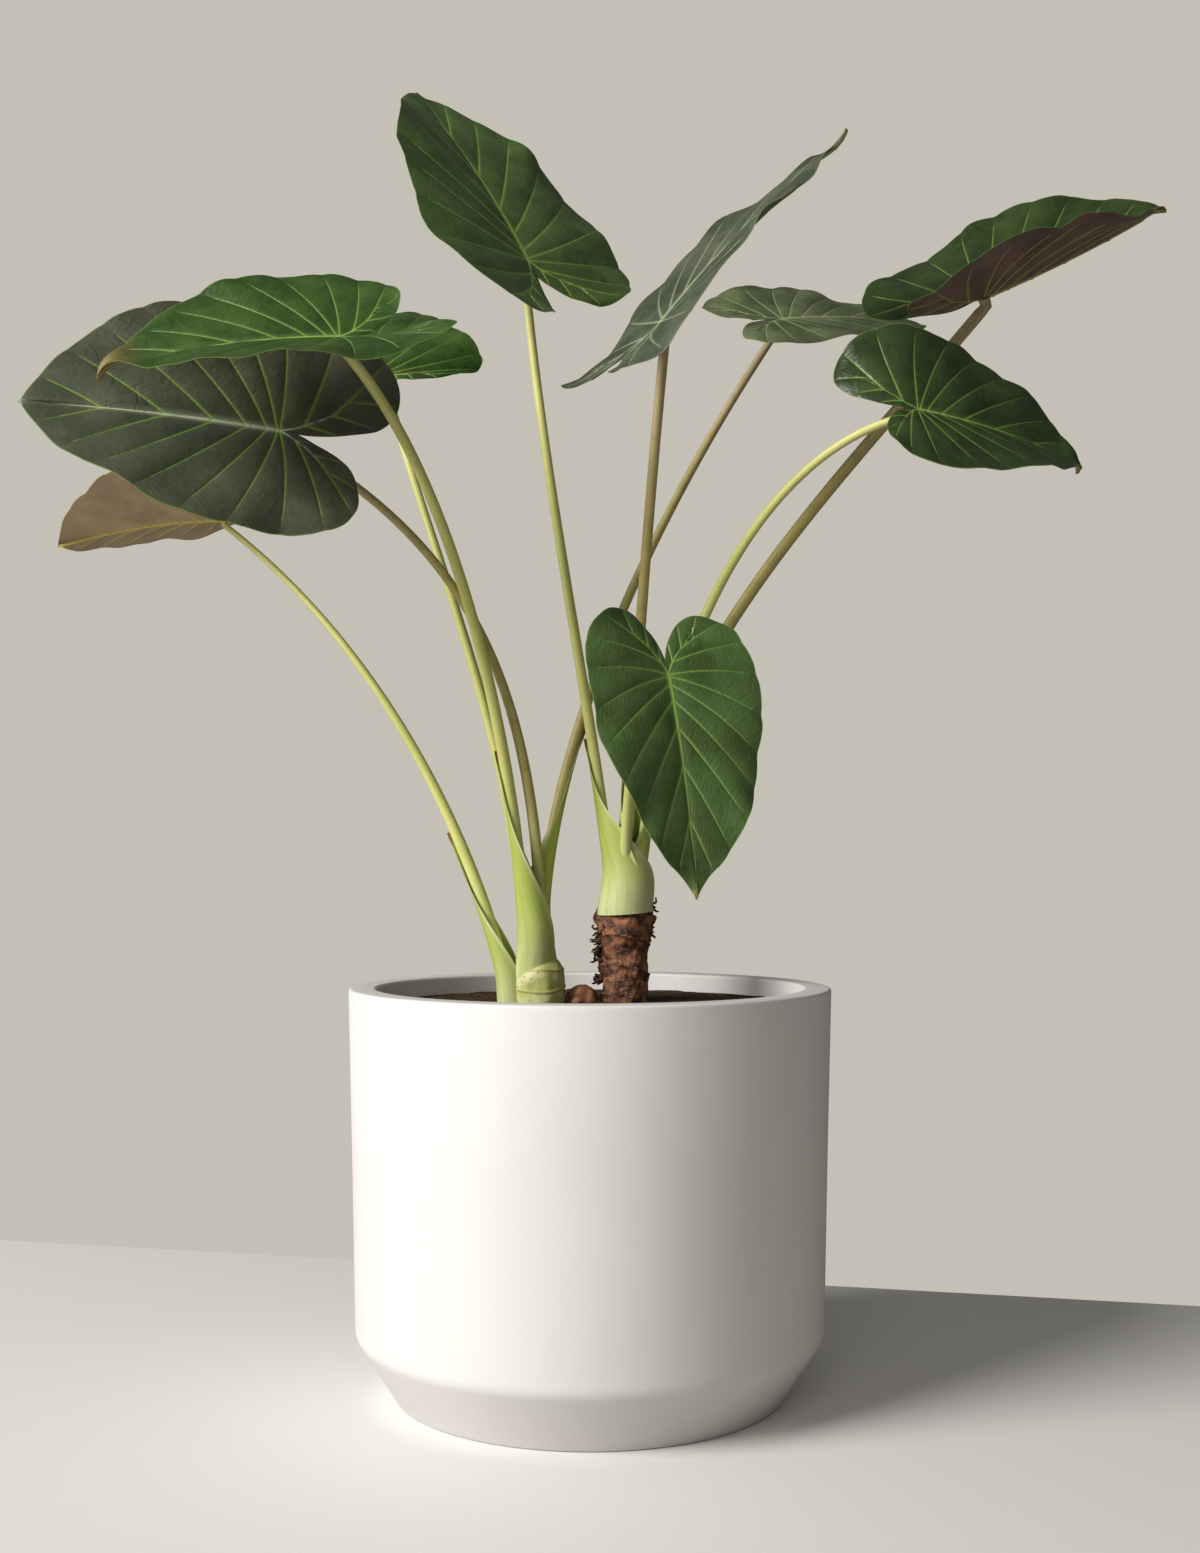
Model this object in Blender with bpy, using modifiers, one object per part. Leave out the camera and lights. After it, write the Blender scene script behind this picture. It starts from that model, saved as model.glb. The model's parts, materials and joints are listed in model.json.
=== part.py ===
"""A potted alocasia: two shoots with ten leaves in a plain round ceramic planter.

Metres, +Z up. The origin is the centre of the planter's flat bottom. +Y points to the back.
"""
from collections import namedtuple
from math import cos, pi, radians, sin

import bmesh
import bpy
from mathutils import Euler, Vector

# Planter: a turned ceramic cylinder with a slight taper and a bevelled foot
POT_HEIGHT = 0.2475
POT_RIM_RADIUS = 0.150
POT_WAIST_RADIUS = 0.1445      # outer radius just above the bevelled foot
POT_WAIST_HEIGHT = 0.039
POT_FOOT_RADIUS = 0.1205
POT_WALL = 0.017
POT_FLOOR = 0.016
POT_EDGE = 0.002               # radius that rounds the rim's two edges
POT_STEPS = 48                 # faces round the planter and the soil
SHOOT_STEPS = 28               # faces round the rhizome and the corm

# Soil
SOIL_TOP = 0.2385
SOIL_CROWN = 0.0010            # how much higher the middle lies than the edge
GAP = 0.0003                   # air kept between neighbouring solids

# Right shoot: an old brown rhizome that stands up out of the soil
RHIZOME_CENTRE = (0.022, 0.010)
RHIZOME_FOOT = 0.170           # height of its buried lower end
RHIZOME_TOP = 0.298
# Left shoot: a young green corm
CORM_CENTRE = (-0.0300, 0.0)
CORM_RADIUS = 0.0145
CORM_FOOT = 0.215
CORM_TOP = 0.262

# Leaves
BLADE_THICKNESS = 0.001
BLADE_ACROSS = 10              # faces from margin to margin
BLADE_ALONG = 18               # faces from the sinus round to the tip
STALK_POINTS = 16
STALK_CLEARANCE = 0.0014        # air between the rim of a stalk's end and the blade
SHEATH_WALL = 0.0012

# A leaf hangs on its stalk at `joint`. `heading` is the compass angle of its tip (0 = +X, 90 = +Y),
# `dip` how far the tip points below level, and `roll` lifts the side that lies to the left of the tip.
# `lobe` is the length of the rear lobes over the blade's length. `fold` raises both halves into a
# valley, `arch` bends the tip down and `droop` the lobes. `uneven` makes the left lobe longer and the
# right one shorter by that share. `twist` turns the blade about its midrib on the way to the tip.
# `rise` and `reach` are the two handles of the stalk's curve. Angles in degrees, lengths in metres.
Leaf = namedtuple("Leaf", "name joint heading dip roll length width lobe uneven fold arch droop twist "
                          "base rise reach foot_radius top_radius")

LEAVES = [
    Leaf("far_left", (-0.180, -0.100, 0.574), 200, -5, -62, 0.143, 0.176, 0.40, -0.25, 15, 10, 15, 0,
         (-0.0300, -0.0050, 0.263), (-0.033, 0.004, 0.450), (-0.080, -0.060, 0.520), 0.0038, 0.0024),
    Leaf("upper_left", (-0.140, -0.140, 0.617), 195, 5, -38, 0.127, 0.124, 0.42, 0.22, 19, 15, -15, 0,
         (-0.0400, -0.0050, 0.263), (-0.0445, 0.000, 0.385), (-0.080, -0.060, 0.560), 0.0043, 0.0030),
    Leaf("behind_left", (-0.138, 0.060, 0.653), 130, -48, -25, 0.125, 0.140, 0.12, 0.0, 5, 30, -10, 0,
         (-0.0400, 0.0050, 0.263), (-0.044, 0.000, 0.400), (-0.110, 0.025, 0.540), 0.0040, 0.0024),
    Leaf("low_left", (-0.243, 0.050, 0.552), 183, 1, 0, 0.110, 0.148, 0.27, 0.38, 15, 18, 36, 20,
         (-0.0510, 0.0000, 0.2405), (-0.070, 0.008, 0.330), (-0.130, 0.030, 0.460), 0.0050, 0.0020),
    Leaf("centre_right", (0.129, 0.060, 0.691), 24, -12, 33, 0.122, 0.116, 0.36, 0.0, 8, 15, 4, 0,
         (-0.0300, 0.0050, 0.263), (-0.0365, 0.006, 0.390), (0.045, 0.040, 0.560), 0.0040, 0.0026),
    Leaf("top", (-0.041, 0.020, 0.717), 137, -58, -8, 0.186, 0.155, 0.33, 0.28, 11, 12, -20, 3,
         (0.0142, 0.0064, 0.299), (0.0065, 0.004, 0.400), (-0.030, 0.018, 0.560), 0.0039, 0.0028),
    Leaf("upright", (0.042, -0.080, 0.645), 5, -52, 20, 0.162, 0.096, 0.37, 0.12, 9, 12, -16, -3,
         (0.0220, 0.0080, 0.299), (0.026, 0.008, 0.400), (0.034, -0.050, 0.530), 0.0039, 0.0030),
    Leaf("top_right", (0.252, 0.000, 0.686), 12, -25, 14, 0.142, 0.140, 0.46, 0.0, 35, -7, 5, 21,
         (0.0274, 0.0144, 0.299), (0.036, 0.010, 0.450), (0.148, 0.002, 0.555), 0.0039, 0.0038),
    Leaf("lower_right", (0.186, -0.120, 0.582), 11, 8, 54, 0.107, 0.122, 0.30, 0.36, 17, 17, 38, -9,
         (0.0299, 0.0051, 0.299), (0.040, 0.000, 0.450), (0.100, -0.070, 0.575), 0.0039, 0.0024),
    Leaf("front", (0.041, -0.180, 0.424), -68, 66, 0, 0.118, 0.098, 0.31, 0.0, 12, 15, 0, 0,
         (0.0218, -0.0003, 0.299), (0.021, -0.004, 0.390), (0.037, -0.100, 0.475), 0.0039, 0.0024),
]

# A sheath wraps a shoot's young stalks. Rows: centre x, centre y, height, outer radius. The rim
# rises on the side that faces `high_side` (degrees).
Sheath = namedtuple("Sheath", "name rows rim_rise high_side")

SHEATHS = [
    Sheath("sheath_left", [(-0.0350, 0.0, 0.2630, 0.0130), (-0.0358, 0.0, 0.2850, 0.0142),
                           (-0.0366, 0.0, 0.3060, 0.0158)], 0.012, -100),
    Sheath("sheath_right", [(0.0220, 0.0080, 0.2990, 0.0142), (0.0220, 0.0072, 0.3110, 0.0153),
                            (0.0220, 0.0062, 0.3220, 0.0168)], 0.010, 180),
]

CERAMIC = ("glazed_white", (0.84, 0.82, 0.79), 0.55)
SOIL = ("potting_soil", (0.045, 0.030, 0.021), 0.95)
BARK = ("rhizome_bark", (0.150, 0.075, 0.042), 0.85)
STEM = ("young_stem", (0.42, 0.56, 0.14), 0.45)
STALK = ("leaf_stalk", (0.36, 0.42, 0.10), 0.45)
BLADE = ("leaf_blade", (0.030, 0.085, 0.022), 0.38)


# ---------------------------------------------------------------- scene and materials

def clear_scene():
    for old in list(bpy.data.objects):
        bpy.data.objects.remove(old, do_unlink=True)


def new_collection(name):
    collection = bpy.data.collections.new(name)
    bpy.context.scene.collection.children.link(collection)
    return collection


def material(name, look):
    """A material of its own for one part, with the look's colour and roughness."""
    _, colour, roughness = look
    made = bpy.data.materials.new(name + "_material")
    made.use_nodes = True
    shader = made.node_tree.nodes["Principled BSDF"]
    shader.inputs["Base Color"].default_value = (*colour, 1.0)
    shader.inputs["Roughness"].default_value = roughness
    shader.inputs["Metallic"].default_value = 0.0
    return made


def add_object(name, data, collection, look=None):
    obj = bpy.data.objects.new(name, data)
    collection.objects.link(obj)
    if look:
        data.materials.append(material(name, look))
    return obj


def mesh_from(bm, name, smooth_angle=40):
    mesh = bpy.data.meshes.new(name)
    bm.to_mesh(mesh)
    bm.free()
    mesh.shade_smooth()
    mesh.set_sharp_from_angle(angle=radians(smooth_angle))
    return mesh


# ---------------------------------------------------------------- turned shapes

def arc_points(centre, radius, start, end, steps):
    """Points on an arc in the X-Z plane, angles in degrees."""
    points = []
    for step in range(steps + 1):
        angle = radians(start + (end - start) * step / steps)
        points.append((centre[0] + radius * cos(angle), centre[1] + radius * sin(angle)))
    return points


def turned(name, profile, collection, look=None, steps=POT_STEPS, place=(0, 0, 0)):
    """Spin an (r, z) profile, listed down its outer side, about the object's own Z axis."""
    bm = bmesh.new()
    verts = [bm.verts.new((r, 0.0, z)) for r, z in profile]
    for a, b in zip(verts, verts[1:]):
        bm.edges.new((a, b))
    obj = add_object(name, mesh_from(bm, name), collection, look)
    obj.location = place
    screw = obj.modifiers.new("turn", "SCREW")
    screw.steps = steps
    screw.render_steps = steps
    screw.use_merge_vertices = True
    screw.merge_threshold = 0.00002
    screw.use_smooth_shade = True
    return obj


def inner_radius(z):
    """Radius of the planter's inside wall at height z."""
    share = (z - POT_WAIST_HEIGHT) / (POT_HEIGHT - POT_WAIST_HEIGHT)
    return POT_WAIST_RADIUS + (POT_RIM_RADIUS - POT_WAIST_RADIUS) * share - POT_WALL


def make_planter(collection):
    rim = POT_RIM_RADIUS
    inside = inner_radius(POT_HEIGHT)
    top = POT_HEIGHT - POT_EDGE
    profile = [(0.0, POT_FLOOR)]
    profile += arc_points((inner_radius(POT_FLOOR) - 0.020, POT_FLOOR + 0.012), 0.012, 270, 360, 4)
    profile += [(inner_radius(POT_WAIST_HEIGHT), POT_WAIST_HEIGHT + 0.010)]
    profile += arc_points((inside + POT_EDGE, top), POT_EDGE, 180, 90, 3)
    profile += arc_points((rim - POT_EDGE, top), POT_EDGE, 90, 0, 3)
    # soft corner between the wall and the bevel, then the bevel itself
    bend = POT_WAIST_HEIGHT
    profile += [(POT_WAIST_RADIUS, bend + 0.004), (POT_WAIST_RADIUS - 0.0009, bend - 0.001),
                (POT_WAIST_RADIUS - 0.0032, bend - 0.006)]
    profile += arc_points((POT_FOOT_RADIUS - 0.0015, 0.0022), 0.0022, -40, -90, 3)
    profile += [(0.0, 0.0)]
    return turned("planter", profile, collection, CERAMIC)


def make_soil(collection, cutters):
    edge_top = SOIL_TOP - SOIL_CROWN
    floor = POT_FLOOR + GAP
    profile = [(0.0, SOIL_TOP), (0.060, SOIL_TOP - 0.0006), (0.110, edge_top + 0.0005),
               (inner_radius(edge_top) - GAP, edge_top),
               (inner_radius(POT_WAIST_HEIGHT) - GAP, POT_WAIST_HEIGHT + 0.010)]
    profile += arc_points((inner_radius(POT_FLOOR) - 0.020, floor + 0.012), 0.012 - GAP, 0, -90, 4)
    profile += [(0.0, floor)]
    soil = turned("potting_soil", profile, collection, SOIL)
    for cutter in cutters:
        cut = soil.modifiers.new("socket_" + cutter.name, "BOOLEAN")
        cut.operation = "DIFFERENCE"
        cut.object = cutter
    return soil


# ---------------------------------------------------------------- shoots

def bark_profile():
    """The rhizome: a buried plug, then leaf-scar rings that step in towards the crown."""
    height = RHIZOME_TOP - SOIL_TOP
    rings = 5
    profile = [(0.0, RHIZOME_TOP), (0.0125, RHIZOME_TOP)]
    for ring in range(rings):
        middle = RHIZOME_TOP - height * (ring + 0.5) / rings
        low = RHIZOME_TOP - height * (ring + 0.93) / rings
        swell = 0.0145 + 0.0040 * (ring / (rings - 1))
        profile += [(swell, middle), (swell - 0.0016, low)]
    return profile + [(0.0172, SOIL_TOP - 0.004), (0.0150, RHIZOME_FOOT), (0.0, RHIZOME_FOOT)]


def socket(name, centre, radius, foot, collection):
    """A cutter that leaves a shoot's hole in the soil."""
    depth = SOIL_TOP + 0.020 - foot
    bm = bmesh.new()
    bmesh.ops.create_cone(bm, cap_ends=True, segments=40, radius1=radius, radius2=radius, depth=depth)
    cutter = add_object(name, mesh_from(bm, name), collection)
    cutter.location = (centre[0], centre[1], foot + depth / 2)
    cutter.hide_render = True
    cutter.display_type = "WIRE"
    return cutter


def make_rhizome(collection):
    return turned("rhizome", bark_profile(), collection, BARK, SHOOT_STEPS, (*RHIZOME_CENTRE, 0.0))


def make_corm(collection):
    wide = CORM_RADIUS
    profile = [(0.0, CORM_TOP), (0.72 * wide, CORM_TOP), (0.92 * wide, CORM_TOP - 0.004),
               (wide, CORM_TOP - 0.012), (0.98 * wide, CORM_TOP - 0.020),
               (0.89 * wide, SOIL_TOP - 0.006), (0.6 * wide, CORM_FOOT + 0.003), (0.0, CORM_FOOT)]
    return turned("corm", profile, collection, STEM, SHOOT_STEPS, (*CORM_CENTRE, 0.0))


def make_sheath(sheath, collection):
    """An open sleeve: a ring for each row, its last ring rising to one side, made a wall."""
    sides = 24
    bm = bmesh.new()
    bmesh.ops.create_cone(bm, cap_ends=False, segments=sides, radius1=1, radius2=1, depth=2)
    upright = [edge for edge in bm.edges if abs(edge.verts[0].co.z - edge.verts[1].co.z) > 1]
    bmesh.ops.subdivide_edges(bm, edges=upright, cuts=len(sheath.rows) * 2 - 1)
    for vert in bm.verts:
        share = (vert.co.z + 1) / 2
        level = share * (len(sheath.rows) - 1)
        low = min(int(level), len(sheath.rows) - 2)
        x, y, z, radius = (a + (b - a) * (level - low)
                           for a, b in zip(sheath.rows[low], sheath.rows[low + 1]))
        around = Vector((vert.co.x, vert.co.y)).normalized()
        lean = around.x * cos(radians(sheath.high_side)) + around.y * sin(radians(sheath.high_side))
        z += sheath.rim_rise * share ** 2 * lean
        vert.co = (x + radius * around.x, y + radius * around.y, z)
    obj = add_object(sheath.name, mesh_from(bm, sheath.name), collection, STEM)
    wall = obj.modifiers.new("wall", "SOLIDIFY")
    wall.thickness = SHEATH_WALL
    wall.offset = -1
    return obj


# ---------------------------------------------------------------- leaves

def bezier(points, t):
    s = 1 - t
    return (points[0] * s ** 3 + points[1] * (3 * s * s * t) + points[2] * (3 * s * t * t)
            + points[3] * t ** 3)


def margin_curves(lobe):
    """Half a blade's margin as three curves: sinus to lobe end, to the widest place, to the tip.

    Lengthwise unit: the blade's length from stalk to tip. Crosswise unit: half its width.
    """
    sinus = [(-0.08, 0.0), (-0.5 * lobe, 0.04), (-0.98 * lobe, 0.18), (-lobe, 0.46)]
    round_lobe = [(-lobe, 0.46), (-lobe, 0.80), (-0.16, 1.0), (0.10, 1.0)]
    side = [(0.10, 1.0), (0.50, 1.0), (0.90, 0.44), (1.0, 0.0)]
    return [[Vector(point) for point in curve] for curve in (sinus, round_lobe, side)]


def flat_point(leaf, q, side, r):
    """Place on the flat half blade: q runs along the margin, r from the midrib out along a vein."""
    curves = margin_curves(leaf.lobe * (1 + side * leaf.uneven))
    if q < 0.2:
        t = q / 0.2
        origin = Vector((-0.08 * (1 - t) ** 1.5, 0.0))
        edge = bezier(curves[0], t)
    elif q < 0.45:
        origin = Vector((0.0, 0.0))
        edge = bezier(curves[1], (q - 0.2) / 0.25)
    else:
        t = (q - 0.45) / 0.55
        origin = Vector((t ** 1.4, 0.0))
        edge = bezier(curves[2], t)
    span = edge - origin
    rear = max(0.0, (0.45 - q) / 0.45)
    handle = origin + span * 0.5
    handle.x -= 0.05 * span.length * (1 - rear) + 0.10 * rear * abs(span.y)
    handle.y = span.y * 0.5 * (1 - 0.25 * rear)
    return origin * (1 - r) ** 2 + handle * (2 * r * (1 - r)) + edge * r ** 2


def bent(distance, start, rate):
    """End of an arc of this length that starts at angle `start` and turns by `rate` per metre."""
    if abs(rate) < 1e-6:
        return distance * cos(start), distance * sin(start)
    end = start + rate * distance
    return (sin(end) - sin(start)) / rate, (cos(start) - cos(end)) / rate


def turn_of(leaf):
    heading = Euler((0, 0, radians(leaf.heading))).to_matrix()
    dip = Euler((0, radians(leaf.dip), 0)).to_matrix()
    roll = Euler((radians(leaf.roll), 0, 0)).to_matrix()
    return heading @ dip @ roll


CUP = radians(11)              # how far each half blade curls back down by its margin


def blade_point(leaf, q, side, r):
    flat = flat_point(leaf, q, side, r)
    x = flat.x * leaf.length
    half = leaf.width / 2
    out, up = bent(flat.y * half, radians(leaf.fold), -CUP / half)
    swing = radians(leaf.twist) * max(0.0, flat.x)
    across, up = side * out * cos(swing) - up * sin(swing), side * out * sin(swing) + up * cos(swing)
    bend = radians(leaf.arch) / leaf.length if x >= 0 else radians(leaf.droop) / (0.36 * leaf.length)
    run, fall = bent(abs(x), 0.0, bend)
    tilt = bend * abs(x)
    sign = 1 if x >= 0 else -1
    local = Vector((sign * (run + up * sin(tilt)), across, up * cos(tilt) - fall))
    return turn_of(leaf) @ local


def make_blade(leaf, collection):
    """A grid laid out along the veins of both half blades, given its thickness by Solidify."""
    bm = bmesh.new()
    bmesh.ops.create_grid(bm, x_segments=BLADE_ACROSS, y_segments=BLADE_ALONG, size=1)
    for vert in bm.verts:
        side = 1 if vert.co.x > 0 else -1
        vert.co = blade_point(leaf, (vert.co.y + 1) / 2, side, abs(vert.co.x))
    bmesh.ops.remove_doubles(bm, verts=bm.verts, dist=0.00002)
    bmesh.ops.recalc_face_normals(bm, faces=bm.faces)
    obj = add_object("blade_" + leaf.name, mesh_from(bm, "blade_" + leaf.name), collection, BLADE)
    obj.location = leaf.joint
    skin = obj.modifiers.new("thickness", "SOLIDIFY")
    skin.thickness = BLADE_THICKNESS
    skin.offset = 0
    return obj


def make_stalk(leaf, collection):
    """A round tube along one smooth curve from the shoot to just under the blade."""
    up = turn_of(leaf) @ Vector((0, 0, 1))
    end = Vector(leaf.joint) - up * (leaf.top_radius + STALK_CLEARANCE)
    handles = [Vector(leaf.base), Vector(leaf.rise), Vector(leaf.reach), end]
    curve = bpy.data.curves.new("stalk_" + leaf.name, "CURVE")
    curve.dimensions = "3D"
    curve.bevel_depth = 1.0
    curve.bevel_resolution = 2
    curve.use_fill_caps = True
    spline = curve.splines.new("POLY")
    spline.points.add(STALK_POINTS - 1)
    for index, point in enumerate(spline.points):
        t = index / (STALK_POINTS - 1)
        point.co = (*bezier(handles, t), 1.0)
        point.radius = leaf.top_radius + (leaf.foot_radius - leaf.top_radius) * (1 - t) ** 1.5
    return add_object("stalk_" + leaf.name, curve, collection, STALK)


# ---------------------------------------------------------------- build

def build():
    clear_scene()
    parts = new_collection("potted_alocasia")
    cutters = new_collection("cutters")
    sockets = [socket("cut_rhizome", RHIZOME_CENTRE, 0.0185 + GAP, RHIZOME_FOOT - GAP, cutters),
               socket("cut_corm", CORM_CENTRE, CORM_RADIUS + GAP, CORM_FOOT - GAP, cutters)]
    make_planter(parts)
    make_soil(parts, sockets)
    make_rhizome(parts)
    make_corm(parts)
    for sheath in SHEATHS:
        make_sheath(sheath, parts)
    for leaf in LEAVES:
        make_stalk(leaf, parts)
        make_blade(leaf, parts)


build()
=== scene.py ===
# %% [markdown]
# # A potted alocasia
#
# Two shoots of a young alocasia stand in a plain white planter. The CAD model gives the sizes and
# the places. This script gives the looks: leaves with sunken veins, sappy stalks, a scaly rhizome,
# crumbly soil and a satin ceramic planter. Everything is in metres, +Z up, with the origin in the
# middle of the planter's underside, and +Y pointing away from the camera.

# %% Load the frame
import json
from collections import namedtuple
from math import cos, pi, radians, sin

import bpy
import numpy as np
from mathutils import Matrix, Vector, noise

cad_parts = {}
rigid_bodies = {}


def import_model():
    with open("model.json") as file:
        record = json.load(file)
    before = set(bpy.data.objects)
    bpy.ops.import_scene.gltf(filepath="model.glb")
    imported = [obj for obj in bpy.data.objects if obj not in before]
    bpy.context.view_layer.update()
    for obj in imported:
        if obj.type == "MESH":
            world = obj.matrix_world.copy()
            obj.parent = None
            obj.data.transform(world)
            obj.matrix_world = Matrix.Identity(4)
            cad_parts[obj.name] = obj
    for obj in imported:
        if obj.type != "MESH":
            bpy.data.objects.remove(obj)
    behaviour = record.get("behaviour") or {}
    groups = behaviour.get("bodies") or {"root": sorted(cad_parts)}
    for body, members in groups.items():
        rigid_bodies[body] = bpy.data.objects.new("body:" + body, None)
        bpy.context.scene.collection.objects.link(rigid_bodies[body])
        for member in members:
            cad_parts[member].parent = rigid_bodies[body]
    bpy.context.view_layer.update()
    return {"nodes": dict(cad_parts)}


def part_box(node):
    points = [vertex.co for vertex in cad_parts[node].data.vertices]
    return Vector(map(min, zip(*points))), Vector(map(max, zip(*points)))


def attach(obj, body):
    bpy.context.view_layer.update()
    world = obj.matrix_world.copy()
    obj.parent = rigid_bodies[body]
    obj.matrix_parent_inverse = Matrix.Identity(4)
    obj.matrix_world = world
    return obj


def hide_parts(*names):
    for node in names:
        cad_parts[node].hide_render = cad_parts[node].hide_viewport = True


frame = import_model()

print("CAD nodes:", len(frame["nodes"]))

# %% [markdown]
# ## Camera and stage
#
# The camera stands a little above the planter's rim and looks slightly upwards, so that the
# planter shows its rim as a thin ellipse and the leaves rise above eye level. The stage is a pale
# table top, whose straight back edge runs at a slant behind the planter. Behind it there is only
# the world's plain warm grey: a wall would hide the plant from a camera that stands behind it.
#
# Table and room each have two colours, chosen by whether the camera sees them or only their light
# arrives. The camera sees them pale, and the light they send back is weaker. Otherwise a pale
# stage this large would fill every shadow, and the planter would look flat.

# %% Camera
camera_data = bpy.data.cameras.new("camera")
camera_data.sensor_width = 36.0
camera_data.lens = 40.21893    # in millimetres, like the sensor
camera_data.clip_end = 50
camera = bpy.data.objects.new("camera", camera_data)
camera.location = (0, -1.0935, 0.325)
camera.rotation_euler = (pi / 2 + 0.0494, 0, -0.00566)
bpy.context.scene.collection.objects.link(camera)
bpy.context.scene.camera = camera
print("lens mm:", round(camera_data.lens, 2))

# %% Colours and nodes


def linear(code):
    """A colour such as #8FA35C as the linear RGBA that a shader takes."""
    values = [int(code[at:at + 2], 16) / 255 for at in (1, 3, 5)]
    return (*[v / 12.92 if v <= 0.04045 else ((v + 0.055) / 1.055) ** 2.4 for v in values], 1.0)


def add(tree, kind, inputs=None, out=0, **settings):
    """Adds one node: its settings, its inputs and the output wanted.

    An input is a socket to link, a value, or a colour code, which is turned linear here.
    """
    made = tree.nodes.new(kind)
    for name, value in settings.items():
        setattr(made, name, value)
    for socket, value in (inputs or {}).items():
        if isinstance(value, bpy.types.NodeSocket):
            tree.links.new(value, made.inputs[socket])
        else:
            is_colour = isinstance(value, str) and value.startswith("#")
            made.inputs[socket].default_value = linear(value) if is_colour else value
    return made.outputs[out] if made.outputs else made


def new_material(name):
    made = bpy.data.materials.new(name)
    made.use_nodes = True
    made.node_tree.nodes.clear()
    return made, made.node_tree


EASED = {"interpolation_type": "SMOOTHSTEP"}           # Map Range: a ramp with soft ends
COLOURS = {"data_type": "RGBA", "out": 2}              # Mix: blends colours, its output is number 2


def painted(tree, under, over, value, start, end, low=0.0, high=1.0):
    """Lays the colour `over` on `under`: its share goes from low to high as value goes start to end."""
    share = add(tree, "ShaderNodeMapRange", {"Value": value, "From Min": start, "From Max": end,
                                             "To Min": low, "To Max": high}, **EASED)
    return add(tree, "ShaderNodeMix", {0: share, 6: under, 7: over}, **COLOURS)


def surface(tree, colour, roughness, height=None, depth=0.001, **constants):
    """Ends a material: the shader, its bump (depth in metres) and the numbers that stay the same."""
    inputs = {"Base Color": colour, "Roughness": roughness}
    if height is not None:
        inputs["Normal"] = add(tree, "ShaderNodeBump", {"Height": height, "Distance": depth})
    inputs.update({name.replace("_", " "): value for name, value in constants.items()})
    shader = add(tree, "ShaderNodeBsdfPrincipled", inputs)
    add(tree, "ShaderNodeOutputMaterial", {"Surface": shader})


# %% Table top and light
TABLE_BACK_LEFT = Vector((-0.526, 0.426, 0))
TABLE_BACK_RIGHT = Vector((0.445, 0.194, 0))
TABLE_REACH = 4.0              # how far the table goes on past the view, sideways and forward

slant = (TABLE_BACK_RIGHT - TABLE_BACK_LEFT).normalized()
front = Vector((slant.y, -slant.x, 0))
corners = [TABLE_BACK_LEFT - slant * TABLE_REACH, TABLE_BACK_RIGHT + slant * TABLE_REACH]
corners += [corners[1] + front * TABLE_REACH, corners[0] + front * TABLE_REACH]
table_mesh = bpy.data.meshes.new("table_top")
table_mesh.from_pydata([tuple(c) for c in corners], [], [(3, 2, 1, 0)])
table = bpy.data.objects.new("table_top", table_mesh)
bpy.context.scene.collection.objects.link(table)
table_paint, tree = new_material("matt_pale_table")
direct = add(tree, "ShaderNodeLightPath", out="Is Camera Ray")
surface(tree, add(tree, "ShaderNodeMix", {0: direct, 6: "#C4C1BB", 7: "#FAF9F6"}, **COLOURS), 0.7)
table_mesh.materials.append(table_paint)

world = bpy.data.worlds.new("warm_grey_room")
bpy.context.scene.world = world
world.use_nodes = True
world.node_tree.nodes.clear()
seen = add(world.node_tree, "ShaderNodeBackground", {"Color": "#C5C0B6", "Strength": 1.0})
felt = add(world.node_tree, "ShaderNodeBackground", {"Color": "#CBC8C2", "Strength": 0.20})
direct = add(world.node_tree, "ShaderNodeLightPath", out="Is Camera Ray")
room = add(world.node_tree, "ShaderNodeMixShader", {0: direct, 1: felt, 2: seen})
add(world.node_tree, "ShaderNodeOutputWorld", {"Surface": room})


def area_light(name, place, aim, size, watts, colour):
    data = bpy.data.lights.new(name, "AREA")
    data.shape = "DISK"
    data.size = size
    data.energy = watts
    data.color = linear(colour)[:3]
    lamp = bpy.data.objects.new(name, data)
    lamp.location = place
    lamp.rotation_euler = (Vector(aim) - Vector(place)).to_track_quat("-Z", "Y").to_euler()
    bpy.context.scene.collection.objects.link(lamp)


area_light("window", (-3.86, -2.36, 2.55), (0, 0, 0.35), 2.8, 290, "#FFFCF8")
area_light("front_fill", (-0.6, -3.4, 2.4), (0, 0, 0.50), 2.2, 13, "#FFFCF8")
bpy.context.scene.view_settings.view_transform = "Standard"
print("table edge slants by", round(slant.y / slant.x, 3))

# %% [markdown]
# ## How a mesh gets made
#
# Most pieces are grids that follow a rule: a leaf, a turned planter, a wrapped sheath. One helper
# makes an object from arrays of points and faces, welds points that coincide, and stores numbers
# on the points, such as the distance to the nearest vein, for the materials to read.

# %% Meshes from arrays


def weld(points, faces):
    """Merges points that coincide and drops faces that shrink to a line."""
    _, first, where = np.unique(np.round(points, 6), axis=0, return_index=True, return_inverse=True)
    faces = where.reshape(-1)[faces]
    kept = []
    for face in faces:
        ring = [int(v) for at, v in enumerate(face) if v != face[at - 1]]
        if len(set(ring)) > 2:
            kept.append(ring)
    return first, kept


def piece(name, points, faces, materials, numbers=None, slots=None, sharp=50):
    """A smooth-shaded object at the origin, with one float per point for each named number."""
    mesh = bpy.data.meshes.new(name)
    mesh.from_pydata([tuple(p) for p in points], [], faces)
    for material in materials:
        mesh.materials.append(material)
    if slots is not None:
        mesh.polygons.foreach_set("material_index", slots)
    for label, values in (numbers or {}).items():
        mesh.attributes.new(label, "FLOAT", "POINT").data.foreach_set("value", np.asarray(values, "f"))
    mesh.validate()
    mesh.shade_smooth()
    mesh.set_sharp_from_angle(angle=radians(sharp))
    made = bpy.data.objects.new(name, mesh)
    bpy.context.scene.collection.objects.link(made)
    return made


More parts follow.
